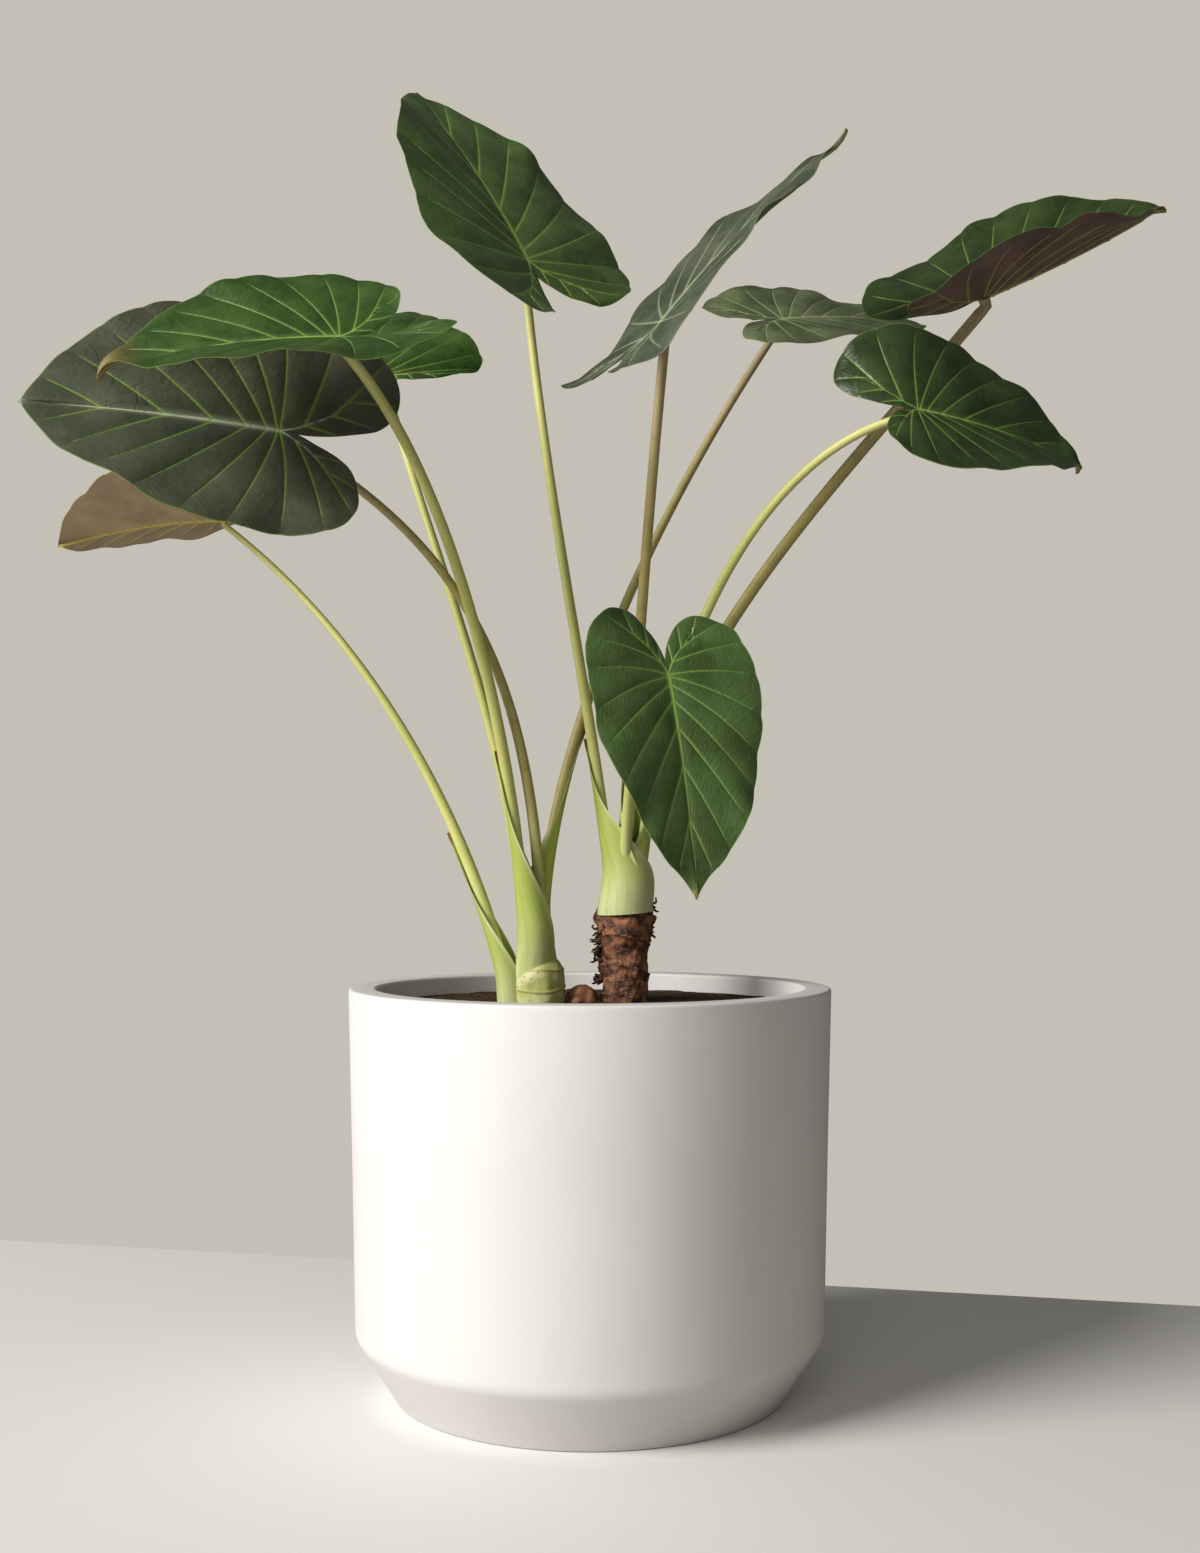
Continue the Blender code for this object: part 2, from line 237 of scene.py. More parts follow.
def grid_faces(rows, columns, closed=False):
    """Quads of a grid of points, listed row by row. A closed grid joins its last column to its first."""
    faces = []
    for row in range(rows - 1):
        for column in range(columns if closed else columns - 1):
            after = (column + 1) % columns
            faces.append((row * columns + column, row * columns + after,
                          (row + 1) * columns + after, (row + 1) * columns + column))
    return faces


def triangles(made):
    return sum(len(face.vertices) - 2 for face in made.data.polygons)


# %% [markdown]
# ## Planter
#
# A slip-cast stoneware pot with a satin white glaze: a slightly tapering wall, a flat rim with
# soft edges, and a bevelled foot. Its outline is turned about the Z axis in 160 steps, so that the
# rim shows no corners. The glaze is smooth to the touch but not quite even, and the material
# shows that as faint clouding and a very shallow orange peel.

# %% Planter
POT_HEIGHT = 0.2475
POT_RIM_RADIUS = 0.150
POT_WAIST_RADIUS = 0.1445
POT_WAIST_HEIGHT = 0.039
POT_FOOT_RADIUS = 0.1205
POT_WALL = 0.017
POT_FLOOR = 0.016
POT_EDGE = 0.002
POT_MIDDLE = 0.15              # height of one more row of points, which keeps the wall's faces short
SOIL_TOP = 0.2385


def arc(centre, radius, start, end, steps):
    """Points on an arc in the outline's plane, angles in degrees."""
    turns = np.radians(np.linspace(start, end, steps + 1))
    return np.column_stack([centre[0] + radius * np.cos(turns), centre[1] + radius * np.sin(turns)])


def turned(name, outline, materials, sides=160, sharp=50):
    """A closed turned body. The outline goes from the axis, inside out and down, to the axis."""
    outline = np.array(outline)
    turns = np.linspace(0, 2 * pi, sides, endpoint=False)
    points = np.array([(r * cos(a), r * sin(a), z) for r, z in outline for a in turns])
    faces = np.array(grid_faces(len(outline), sides, closed=True))[:, ::-1]
    first, kept = weld(points, faces)
    return piece(name, points[first], kept, materials, sharp=sharp)


def inner_radius(z):
    share = (z - POT_WAIST_HEIGHT) / (POT_HEIGHT - POT_WAIST_HEIGHT)
    return POT_WAIST_RADIUS + (POT_RIM_RADIUS - POT_WAIST_RADIUS) * share - POT_WALL


glaze, tree = new_material("satin_white_stoneware_glaze")
spot = add(tree, "ShaderNodeTexCoord", out="Object")
clouds = add(tree, "ShaderNodeTexNoise", {"Vector": spot, "Scale": 14, "Detail": 3})
peel = add(tree, "ShaderNodeTexNoise", {"Vector": spot, "Scale": 420, "Detail": 2})
tint = add(tree, "ShaderNodeMix", {0: clouds, 6: "#EFEDEB", 7: "#F5F3F1"}, **COLOURS)
matness = add(tree, "ShaderNodeMapRange", {"Value": clouds, "From Min": 0.3, "From Max": 0.7,
                                           "To Min": 0.42, "To Max": 0.52}, **EASED)
surface(tree, tint, matness, peel, 0.00004, IOR=1.5)

top = POT_HEIGHT - POT_EDGE
wall_top = inner_radius(POT_HEIGHT)
outline = [np.array([(0, POT_FLOOR)]),
           arc((inner_radius(POT_FLOOR) - 0.020, POT_FLOOR + 0.012), 0.012, 270, 360, 8),
           np.array([(inner_radius(POT_WAIST_HEIGHT), POT_WAIST_HEIGHT + 0.010)]),
           np.array([(inner_radius(POT_MIDDLE), POT_MIDDLE)]),
           arc((wall_top + POT_EDGE, top), POT_EDGE, 180, 90, 6),
           arc((POT_RIM_RADIUS - POT_EDGE, top), POT_EDGE, 90, 0, 6),
           np.array([(POT_WAIST_RADIUS + 0.0027, POT_MIDDLE)]),
           arc((POT_WAIST_RADIUS - 0.014, POT_WAIST_HEIGHT + 0.003), 0.014, 0, -38, 8),
           arc((POT_FOOT_RADIUS - 0.0022, 0.0030), 0.0030, -38, -90, 5),
           np.array([(0, 0)])]
planter = turned("planter_turned", np.vstack(outline), [glaze], sharp=80)
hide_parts("planter")
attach(planter, "root")
print("planter triangles:", triangles(planter))

# %% [markdown]
# ## Numbers of the ten leaves
#
# The table repeats the CAD model's leaves, because this script can't read that file. A blade hangs
# on its stalk at `joint`. `heading` is the compass angle of its tip (0 = +X, 90 = +Y), `dip` how
# far the tip points below level, and `roll` lifts the side that lies to the left of the tip.
# `lobe` is the length of the rear lobes over the blade's length, `uneven` makes the left one longer
# and the right one shorter by that share, `fold` raises both halves into a valley, `arch` bends the
# tip down, `droop` the lobes, and `twist` turns the blade about its midrib on the way to the tip.
# `rise` and `reach` are the handles of the stalk's curve. `drip` is the length of the drawn-out tip,
# `curl` turns it down, and `dry` is how much of it has gone brown and papery.

# %% Leaf table
Leaf = namedtuple("Leaf", "name joint heading dip roll length width lobe uneven fold arch droop twist "
                          "base rise reach foot_radius top_radius skin stalk drip curl dry")

LEAVES = [
    Leaf("far_left", (-0.180, -0.100, 0.574), 200, -5, -62, 0.143, 0.176, 0.40, -0.25, 15, 10, 15, 0,
         (-0.0300, -0.0050, 0.263), (-0.033, 0.004, 0.450), (-0.080, -0.060, 0.520), 0.0038, 0.0024,
         "dark", "olive", 0.0, 0, 0.0),
    Leaf("upper_left", (-0.140, -0.140, 0.617), 195, 5, -38, 0.127, 0.124, 0.42, 0.22, 19, 15, -15, 0,
         (-0.0400, -0.0050, 0.263), (-0.0445, 0.000, 0.385), (-0.080, -0.060, 0.560), 0.0043, 0.0030,
         "green", "green", 0.007, 50, 0.030),
    Leaf("behind_left", (-0.138, 0.060, 0.653), 130, -48, -25, 0.125, 0.140, 0.12, 0.0, 5, 30, -10, 0,
         (-0.0400, 0.0050, 0.263), (-0.044, 0.000, 0.400), (-0.110, 0.025, 0.540), 0.0040, 0.0024,
         "green", "green", 0.0, 0, 0.0),
    Leaf("low_left", (-0.243, 0.050, 0.552), 183, 1, 0, 0.110, 0.148, 0.27, 0.38, 15, 18, 36, 20,
         (-0.0510, 0.0000, 0.2405), (-0.070, 0.008, 0.330), (-0.130, 0.030, 0.460), 0.0050, 0.0020,
         "yellowing", "green", 0.0, 0, 0.004),
    Leaf("centre_right", (0.129, 0.060, 0.691), 24, -12, 33, 0.122, 0.116, 0.36, 0.0, 8, 15, 4, 0,
         (-0.0300, 0.0050, 0.263), (-0.0365, 0.006, 0.390), (0.045, 0.040, 0.560), 0.0040, 0.0026,
         "sheen_greyed", "olive", 0.0, 0, 0.0),
    Leaf("top", (-0.041, 0.020, 0.717), 137, -58, -8, 0.186, 0.155, 0.33, 0.28, 11, 12, -20, 3,
         (0.0142, 0.0064, 0.299), (0.0065, 0.004, 0.400), (-0.030, 0.018, 0.560), 0.0039, 0.0028,
         "fresh", "green", 0.0, 0, 0.0),
    Leaf("upright", (0.042, -0.080, 0.645), 5, -52, 20, 0.162, 0.096, 0.37, 0.12, 9, 12, -16, -3,
         (0.0220, 0.0080, 0.299), (0.026, 0.008, 0.400), (0.034, -0.050, 0.530), 0.0039, 0.0030,
         "grey", "olive", 0.007, -20, 0.006),
    Leaf("top_right", (0.252, 0.000, 0.686), 12, -25, 14, 0.142, 0.140, 0.46, 0.0, 35, -7, 5, 21,
         (0.0274, 0.0144, 0.299), (0.036, 0.010, 0.450), (0.148, 0.002, 0.555), 0.0039, 0.0038,
         "deep", "olive", 0.004, 30, 0.008),
    Leaf("lower_right", (0.186, -0.120, 0.582), 11, 8, 54, 0.107, 0.122, 0.30, 0.36, 17, 17, 38, -9,
         (0.0299, 0.0051, 0.299), (0.040, 0.000, 0.450), (0.100, -0.070, 0.575), 0.0039, 0.0024,
         "deep", "green", 0.006, 55, 0.008),
    Leaf("front", (0.041, -0.180, 0.424), -68, 66, 0, 0.118, 0.098, 0.31, 0.0, 12, 15, 0, 0,
         (0.0218, -0.0003, 0.299), (0.021, -0.004, 0.390), (0.037, -0.100, 0.475), 0.0039, 0.0024,
         "fresh", "green", 0.005, 0, 0.006),
]
print("leaves:", len(LEAVES))

# %% [markdown]
# ## The flat blade
#
# An alocasia blade is an arrowhead. A midrib runs from the stalk to the tip, and a rear rib runs
# into each of the two lobes. Side veins leave these ribs and bend towards the tip before they
# reach the margin. A grid that follows the veins is worth the trouble: a row of points lies on
# each vein, so that the groove and the colour of a vein stay crisp with few faces, and the skin
# between two veins can swell a little, as on the real leaf.
#
# Half a blade is laid out first. Its margin is three Bezier curves: along the notch, round the
# lobe, and along the side to the tip. The unit is the blade's length lengthwise and half its width
# crosswise.

# %% Flat layout
LOBE_VEINS = (0.0, 0.36, 0.70, 1.0)    # where veins leave a rear rib, from its end back to the stalk
SIDE_VEINS = 7                         # gaps between the veins along the midrib
GAP_ROWS = 12                          # rows of points from one vein to the next
REACH = np.linspace(0, 1, 27) ** 1.25  # points from the rib out to the margin, closer by the rib
NOTCH_END = 0.20                       # share of the margin where the lobe's end lies
LOBE_END = 0.42                        # share of the margin where the first midrib vein ends
FORWARD = 2.4                          # how closely the midrib's veins start by the stalk


def bezier(points, t):
    """Points on a cubic curve, one row for each value of t."""
    p = np.array(points, float)
    t = np.atleast_1d(t).astype(float)[:, None]
    return p[0] * (1 - t) ** 3 + 3 * p[1] * t * (1 - t) ** 2 + 3 * p[2] * t * t * (1 - t) + p[3] * t ** 3


def margin_point(lobe, q):
    """The margin of half a blade: q = 0 in the notch, 1 at the tip."""
    if q < 0.2:
        return bezier([(-0.08, 0), (-0.5 * lobe, 0.04), (-0.98 * lobe, 0.18), (-lobe, 0.46)], q / 0.2)[0]
    if q < 0.45:
        return bezier([(-lobe, 0.46), (-lobe, 0.80), (-0.16, 1), (0.10, 1)], (q - 0.2) / 0.25)[0]
    return bezier([(0.10, 1), (0.50, 1), (0.90, 0.44), (1, 0)], (q - 0.45) / 0.55)[0]


def rear_rib(lobe, share):
    """The rib that runs from the stalk (share 0) into the lobe (share 1)."""
    return bezier([(0, 0), (-0.22 * lobe, 0.06), (-0.45 * lobe, 0.20), (-0.66 * lobe, 0.37)], share)[0]


def rows_between(first, last):
    """GAP_ROWS values from first up to last, without last, close together near both ends."""
    share = 0.5 - 0.5 * np.cos(np.linspace(0, pi, GAP_ROWS + 1))
    return (first + (last - first) * share)[:-1]


def blade_rows(lobe):
    """All rows of half a blade, from the notch to the tip: (q, origin on the rib, vein before, after)."""
    rows = []
    for a, b in zip(LOBE_VEINS[::-1], LOBE_VEINS[-2::-1]):      # inner side of the rear rib
        for u in rows_between(a, b):
            rows.append((NOTCH_END * (1 - u), rear_rib(lobe, 1 - u),
                         None if a == 1 else NOTCH_END * (1 - a), NOTCH_END * (1 - b)))
    for a, b in zip(LOBE_VEINS, LOBE_VEINS[1:]):                # outer side of the rear rib
        for u in rows_between(a, b):
            span = LOBE_END - NOTCH_END
            rows.append((NOTCH_END + span * u, rear_rib(lobe, 1 - u),
                         NOTCH_END + span * a, NOTCH_END + span * b))
    for gap in range(SIDE_VEINS):                               # along the midrib
        a, b = gap / SIDE_VEINS, (gap + 1) / SIDE_VEINS
        for t in rows_between(a, b):
            span = 1 - LOBE_END
            rows.append((LOBE_END + span * t, np.array([t ** FORWARD, 0.0]), LOBE_END + span * a,
                         None if b == 1 else LOBE_END + span * b))
    rows.append((1.0, np.array([1.0, 0.0]), None, None))
    return rows


def origin_of(lobe, q):
    """Where the vein that ends at q leaves its rib."""
    if q < NOTCH_END:
        return rear_rib(lobe, q / NOTCH_END)
    if q < LOBE_END:
        return rear_rib(lobe, (LOBE_END - q) / (LOBE_END - NOTCH_END))
    return np.array([((q - LOBE_END) / (1 - LOBE_END)) ** FORWARD, 0.0])


def vein_points(lobe, q, origin, stretch):
    """Points along the vein that ends at q, at every REACH, in metres."""
    edge = margin_point(lobe, q)
    span = edge - origin
    rear = max(0.0, (0.45 - q) / 0.45)
    length = np.hypot(*span)
    handle = origin + span * 0.5
    handle[0] -= 0.035 * length * (1 - rear) + 0.02 * rear
    handle[1] = origin[1] + span[1] * 0.5 * (1 - 0.10 * rear)
    r = REACH[:, None]
    return (origin * (1 - r) ** 2 + handle * 2 * r * (1 - r) + edge * r ** 2) * stretch


def line_distance(points, line):
    """How far each point lies from a line given as points in the same order."""
    along = np.gradient(line, axis=0)
    along /= np.maximum(np.linalg.norm(along, axis=1, keepdims=True), 1e-9)
    offset = points - line
    return np.abs(offset[..., 0] * along[:, 1] - offset[..., 1] * along[:, 0])


print("rows:", len(blade_rows(0.4)), "points in a row:", len(REACH))

# %% [markdown]
# ## From flat blade to leaf
#
# The flat blade is bent like the CAD blade, so it fills the same place: folded along the midrib,
# arched towards the tip, then turned to its heading. On top of that come the living details. The
# skin swells between the veins, the margin waves, and the tip is drawn out. Each blade is a closed
# shell, half a millimetre thick and thinner at the margin, with the veins standing out below.

# %% Bending and swelling
CUP = radians(11)              # how far each half curls back down by its margin
SKIN = 0.00035                 # half the blade's thickness
SWELL = 0.055                  # height of the swelling over the width between two veins
WAVE = 0.0034                  # height of the waves at the margin
VEIN_GROOVE = 0.00025          # depth of a vein's groove in the upper skin
RIB_RIDGE = 0.0011             # how far the ribs stand out below
VEIN_RIDGE = 0.0005            # how far the side veins stand out below
RIB_WIDTH = 0.0014             # half the midrib's width at the stalk
VEIN_WIDTH = 0.00058           # half a side vein's width where it leaves the midrib


def bent(distance, start, rate):
    """Ends of arcs of these lengths that start at angle `start` and turn by `rate` per metre."""
    if abs(rate) < 1e-6:
        return distance * cos(start), distance * sin(start)
    end = start + rate * distance
    return (np.sin(end) - sin(start)) / rate, (cos(start) - np.cos(end)) / rate


def turn_of(leaf):
    h, d, r = (radians(angle) for angle in (leaf.heading, leaf.dip, leaf.roll))
    about_z = np.array([[cos(h), -sin(h), 0], [sin(h), cos(h), 0], [0, 0, 1]])
    about_y = np.array([[cos(d), 0, sin(d)], [0, 1, 0], [-sin(d), 0, cos(d)]])
    about_x = np.array([[1, 0, 0], [0, cos(r), -sin(r)], [0, sin(r), cos(r)]])
    return about_z @ about_y @ about_x


def smooth(value):
    value = np.clip(value, 0, 1)
    return value * value * (3 - 2 * value)


def half_blade(leaf, side, random):
    """One half: points in the leaf's own axes, and the numbers that its material reads."""
    half = leaf.width / 2
    stretch = np.array([leaf.length, half])
    scale = leaf.length / 0.14
    lobe = leaf.lobe * (1 + side * leaf.uneven)
    rows = blade_rows(lobe)
    flat = np.array([vein_points(lobe, q, origin, stretch) for q, origin, _, _ in rows])
    count, columns = flat.shape[:2]
    q = np.array([row[0] for row in rows])[:, None]
    r = np.broadcast_to(REACH, (count, columns))

    # distance to the veins on both sides, and the width of the gap between them
    before = np.full((count, columns), np.inf)
    after = np.full((count, columns), np.inf)
    cache = {}
    for at, (_, _, low, high) in enumerate(rows):
        for end, store in ((low, before), (high, after)):
            if end is not None:
                if end not in cache:
                    cache[end] = vein_points(lobe, end, origin_of(lobe, end), stretch)
                store[at] = line_distance(flat[at], cache[end])
    vein = np.minimum(before, after)
    gap = np.where(np.isfinite(before + after), before + after, vein * 2)
    gap = np.clip(gap, 0.0001, 0.030)

    # distance to the ribs
    rib_line = np.array([rear_rib(lobe, s) for s in np.linspace(0, 1, 30)]) * stretch
    away = np.linalg.norm(flat[:, :, None, :] - rib_line, axis=-1)
    nearest = away.argmin(-1)
    rear = away.min(-1) / (RIB_WIDTH * scale * (0.62 - 0.45 * nearest / 29))
    ahead = np.clip(flat[..., 0] / leaf.length, 0, 1)
    off_axis = np.hypot(flat[..., 1], np.minimum(flat[..., 0], 0))
    middle = off_axis / (RIB_WIDTH * scale * (1 - 0.80 * ahead))
    rib_mm = 1000 * np.minimum(off_axis, away.min(-1) + 0.003)

    # the margin: its waves, and the small bays where veins end
    phase = random.uniform(0, 2 * pi, 4)
    beat = (0.8 * np.sin(2 * pi * 2.3 * q + phase[0]) + 0.5 * np.sin(2 * pi * 4.9 * q + phase[1])
            + 0.2 * np.sin(2 * pi * 9.1 * q + phase[2]))
    ends = np.sqrt(np.clip(np.sin(pi * np.clip(q, 0, 1)), 0, 1))
    wave = WAVE * scale * beat * ends * r ** 3
    bay = smooth(vein / 0.006)
    flow = 0.022 * np.sin(2 * pi * 3.7 * q + phase[3])
    flat[..., 1] *= 1 + (0.012 * (bay - 0.6) + flow) * r ** 4 * ends

    # the drawn-out tip
    tip = np.clip((flat[..., 0] / leaf.length - 0.90) / 0.10, 0, 1)
    flat[..., 0] += leaf.drip * tip ** 2
    flat[..., 1] *= 1 - 0.45 * tip * (leaf.drip > 0)

    out, up = bent(flat[..., 1], radians(leaf.fold), -CUP / half)
    x = flat[..., 0]
    forward = x >= 0
    rate_ahead, rate_back = radians(leaf.arch) / leaf.length, radians(leaf.droop) / (0.36 * leaf.length)
    run_a, fall_a = bent(np.abs(x), 0.0, rate_ahead)
    run_b, fall_b = bent(np.abs(x), 0.0, rate_back)
    run, fall = np.where(forward, run_a, run_b), np.where(forward, fall_a, fall_b)
    tilt = np.where(forward, rate_ahead, rate_back) * np.abs(x)
    sign = np.where(forward, 1.0, -1.0)
    swing = radians(leaf.twist) * np.clip(x / leaf.length, 0, 1)
    swell = SWELL * gap * (1 - (1 - np.clip(2 * vein / gap, 0, 1)) ** 2) * smooth(r * 5) * (1 - 0.5 * r ** 4)
    up = up + swell + wave
    across, up = (side * out * np.cos(swing) - up * np.sin(swing),
                  side * out * np.sin(swing) + up * np.cos(swing))
    place = np.stack([sign * (run + up * np.sin(tilt)), across, up * np.cos(tilt) - fall], -1)
    droop = np.radians(leaf.curl) * tip
    hinge = place[-1, 0] * np.array([0.95, 0, 1])
    lever = place - hinge
    place[..., 0] = hinge[0] + lever[..., 0] * np.cos(droop) + lever[..., 2] * np.sin(droop)
    place[..., 2] = hinge[2] - lever[..., 0] * np.sin(droop) + lever[..., 2] * np.cos(droop)

    width = VEIN_WIDTH * scale * (1 - 0.72 * r)
    row_mm = 1000 * np.linalg.norm(flat[:, -1:] - flat[:, :1], axis=-1)
    numbers = {
        "vein": vein / width + 6 * smooth((r - 0.86) / 0.14),
        "vein_mm": vein * 1000,
        "rib": np.minimum(middle, rear),
        "rib_mm": rib_mm,
        "stalk_mm": 1000 * np.linalg.norm(flat, axis=-1),
        "edge_mm": (1 - r) * row_mm,
        "run_mm": r * row_mm,
        "dry": smooth(1 - (leaf.length + leaf.drip - flat[..., 0]) / max(leaf.dry, 1e-4))
               * (leaf.dry > 0),
    }
    return place.reshape(-1, 3), {name: np.broadcast_to(v, (count, columns)).reshape(-1)
                                  for name, v in numbers.items()}


def point_normals(points, faces):
    quads = np.array([face if len(face) == 4 else (*face, face[-1]) for face in faces])
    across = np.cross(points[quads[:, 2]] - points[quads[:, 0]], points[quads[:, 3]] - points[quads[:, 1]])
    total = np.zeros_like(points)
    for corner in range(4):
        np.add.at(total, quads[:, corner], across)
    return total / np.maximum(np.linalg.norm(total, axis=1, keepdims=True), 1e-12)


def make_blade(leaf, seed, upper, under):
    """A whole blade as a closed shell in its place."""
    random = np.random.default_rng(seed)
    sides = [half_blade(leaf, side, random) for side in (1, -1)]
    rows, columns = len(blade_rows(leaf.lobe)), len(REACH)
    quads = np.array(grid_faces(rows, columns))
    points = np.vstack([sides[0][0], sides[1][0]])
    faces = np.vstack([quads, quads[:, ::-1] + rows * columns])
    numbers = {name: np.concatenate([s[1][name] for s in sides]) for name in sides[0][1]}
    first, faces = weld(points, faces)
    points = points[first]
    numbers = {name: values[first] for name, values in numbers.items()}
    normals = point_normals(points, faces)
    if normals[:, 2].mean() < 0:
        faces = [face[::-1] for face in faces]
        normals = -normals
    thin = 0.4 + 0.6 * smooth(numbers["edge_mm"] / 3)
    groove = VEIN_GROOVE * np.exp(-numbers["vein"] ** 2) * (1 - 0.7 * smooth(1 - numbers["rib"] / 2))
    ridge = thin * (RIB_RIDGE * np.exp(-(numbers["rib"] / 0.9) ** 2)
                    + VEIN_RIDGE * np.exp(-(numbers["vein"] / 0.9) ** 2))
    above = points + normals * (SKIN * thin - groove)[:, None]
    below = points - normals * (SKIN * thin + ridge)[:, None]
    count = len(points)
    uses = dict.fromkeys(pair for face in faces for pair in zip(face, face[1:] + face[:1]))
    rim = [(b, a, a + count, b + count) for a, b in uses if (b, a) not in uses]
    shell = [*faces, *rim, *[[v + count for v in face[::-1]] for face in faces]]
    slots = [0] * (len(faces) + len(rim)) + [1] * len(faces)
    placed = np.vstack([above, below]) @ turn_of(leaf).T + np.array(leaf.joint)
    return piece("leaf_" + leaf.name, placed, shell, [upper, under],
                 {name: np.tile(values, 2) for name, values in numbers.items()}, slots, sharp=70)


# %% [markdown]
# ## Finish of the blades
#
# A leaf's upper skin is a waxy cuticle over green tissue: dark, a little glossy, with an index of
# refraction near 1.45. Veins are paler, because they carry no green cells. The old leaf at the far
# left is nearly black-green with a silvery bloom along its midrib, younger ones are fresher green,
# and two carry painted sheen: greyer colours that stand in for the glancing light on them.
# Undersides are duller and maroon or tan. One recipe makes them all: distance to the nearest vein
# and rib, stored on the points, chooses between the tissue's colours.

# %% Leaf finish
Skin = namedtuple("Skin", "tissue tissue_light vein rib bloom bloom_mm rough_low rough_high")

UPPER = {
    "dark": Skin("#4A5140", "#62644F", "#8DB04E", "#C3D2A8", "#A3A790", 5.0, 0.28, 0.42),
    "green": Skin("#2C481A", "#48662C", "#88A650", "#A0BE60", "#5C8446", 5.0, 0.36, 0.50),
    "fresh": Skin("#3F5829", "#587440", "#8AAC56", "#98B85A", "#587C3C", 5.0, 0.34, 0.46),
    "deep": Skin("#27381A", "#3D5229", "#7C9C46", "#8EB052", "#4C6834", 5.0, 0.30, 0.44),
    # painted sheen: this skin (upright) and the next (centre_right) are greyed to stand in for glancing light
    # on those leaves
    "grey": Skin("#3F4638", "#5C6450", "#98A084", "#A8B38C", "#70795F", 4.0, 0.40, 0.54),
    "sheen_greyed": Skin("#465234", "#707C56", "#98A474", "#A8B380", "#6E7958", 4.0, 0.38, 0.52),
    "yellowing": Skin("#7C7A34", "#8F8844", "#B9BC58", "#C8CB66", "#A3A04E", 5.0, 0.40, 0.55),
}
UNDER = {
    "maroon": Skin("#5A453A", "#7C6356", "#9A9A58", "#A9AE62", "#84695A", 4.0, 0.44, 0.58),
    "sage": Skin("#5B6B4A", "#6D7C58", "#A0B075", "#B4C07F", "#7F8F62", 4.0, 0.48, 0.62),
    "tan": Skin("#AC967A", "#C2AD8C", "#C9C05C", "#D6D066", "#C2B084", 4.0, 0.48, 0.62),
}


def leaf_finish(name, skin):
    made, tree = new_material(name)
    spot = add(tree, "ShaderNodeTexCoord", out="Object")
    number = {label: add(tree, "ShaderNodeAttribute", out="Fac", attribute_name=label)
              for label in ("vein", "vein_mm", "rib", "rib_mm", "stalk_mm", "edge_mm", "run_mm", "dry")}
    patches = add(tree, "ShaderNodeTexNoise", {"Vector": spot, "Scale": 38, "Detail": 4})
    grain = add(tree, "ShaderNodeTexNoise", {"Vector": spot, "Scale": 900, "Detail": 2})
    # small cross veins slant outwards from each side vein, about 3 mm apart
    slant = add(tree, "ShaderNodeMath", {0: number["vein_mm"], 1: -0.7, 2: number["run_mm"]},
                operation="MULTIPLY_ADD")
    shift = add(tree, "ShaderNodeMath", {0: patches, 1: 6.0, 2: slant}, operation="MULTIPLY_ADD")
    beat = add(tree, "ShaderNodeMath", {0: shift, 1: 2 * pi / 3.0}, operation="MULTIPLY")
    cross = add(tree, "ShaderNodeMath", {0: beat}, operation="SINE")
    tissue = painted(tree, skin.tissue, skin.tissue_light, patches, 0.30, 0.74)
    wrinkles = add(tree, "ShaderNodeTexNoise", {"Vector": spot, "Scale": 130, "Detail": 3, "Distortion": 1.2})
    tissue = painted(tree, tissue, skin.tissue_light, wrinkles, 0.45, 0.75, 0.0, 0.35)
    # the bloom lies along the ribs and fades away from the stalk
    by_rib = add(tree, "ShaderNodeMapRange", {"Value": number["rib_mm"], "From Min": 0.5, "To Min": 0.8,
                                              "From Max": skin.bloom_mm, "To Max": 0.0}, **EASED)
    by_stalk = add(tree, "ShaderNodeMapRange", {"Value": number["stalk_mm"], "From Min": 10,
                                                "From Max": 120, "To Min": 1.0, "To Max": 0.15}, **EASED)
    bloom = add(tree, "ShaderNodeMath", {0: by_rib, 1: by_stalk}, operation="MULTIPLY")
    tissue = add(tree, "ShaderNodeMix", {0: bloom, 6: tissue, 7: skin.bloom}, **COLOURS)
    tissue = painted(tree, tissue, skin.vein, number["vein"], 0.8, 4.0, 0.22, 0.0)
    veined = painted(tree, tissue, skin.vein, number["vein"], 0.55, 1.25, 0.92, 0.0)
    ribbed = painted(tree, veined, skin.rib, number["rib"], 0.7, 1.2, 0.95, 0.0)
    edged = painted(tree, ribbed, skin.vein, number["edge_mm"], 0.15, 0.7, 0.55, 0.0)
    papery = add(tree, "ShaderNodeMix", {0: number["dry"], 6: edged, 7: "#8F7A4A"}, **COLOURS)
    fine = add(tree, "ShaderNodeMath", {0: cross, 1: 0.05, 2: wrinkles}, operation="MULTIPLY_ADD")
    bumps = add(tree, "ShaderNodeMath", {0: grain, 1: 0.06, 2: fine}, operation="MULTIPLY_ADD")
    matness = add(tree, "ShaderNodeMapRange", {"Value": wrinkles, "From Min": 0.3, "From Max": 0.7,
                                               "To Min": skin.rough_low, "To Max": skin.rough_high}, **EASED)
    surface(tree, papery, matness, bumps, 0.0005, IOR=1.42)
    return made


upper_skin = {name: leaf_finish("waxy_cuticle_" + name, skin) for name, skin in UPPER.items()}
under_skin = {name: leaf_finish("matt_underside_" + name, skin) for name, skin in UNDER.items()}
FIRST_SEED = 40                # each leaf has its own seed, which shapes its waves
UNDER_OF = {"top_right": "maroon", "far_left": "maroon", "low_left": "tan", "upright": "sage"}

for number, leaf in enumerate(LEAVES):
    under = under_skin[UNDER_OF.get(leaf.name, "sage")]
    blade = make_blade(leaf, FIRST_SEED + number, upper_skin[leaf.skin], under)
    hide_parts("blade_" + leaf.name)
    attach(blade, "root")
    print(blade.name, "triangles:", triangles(blade))

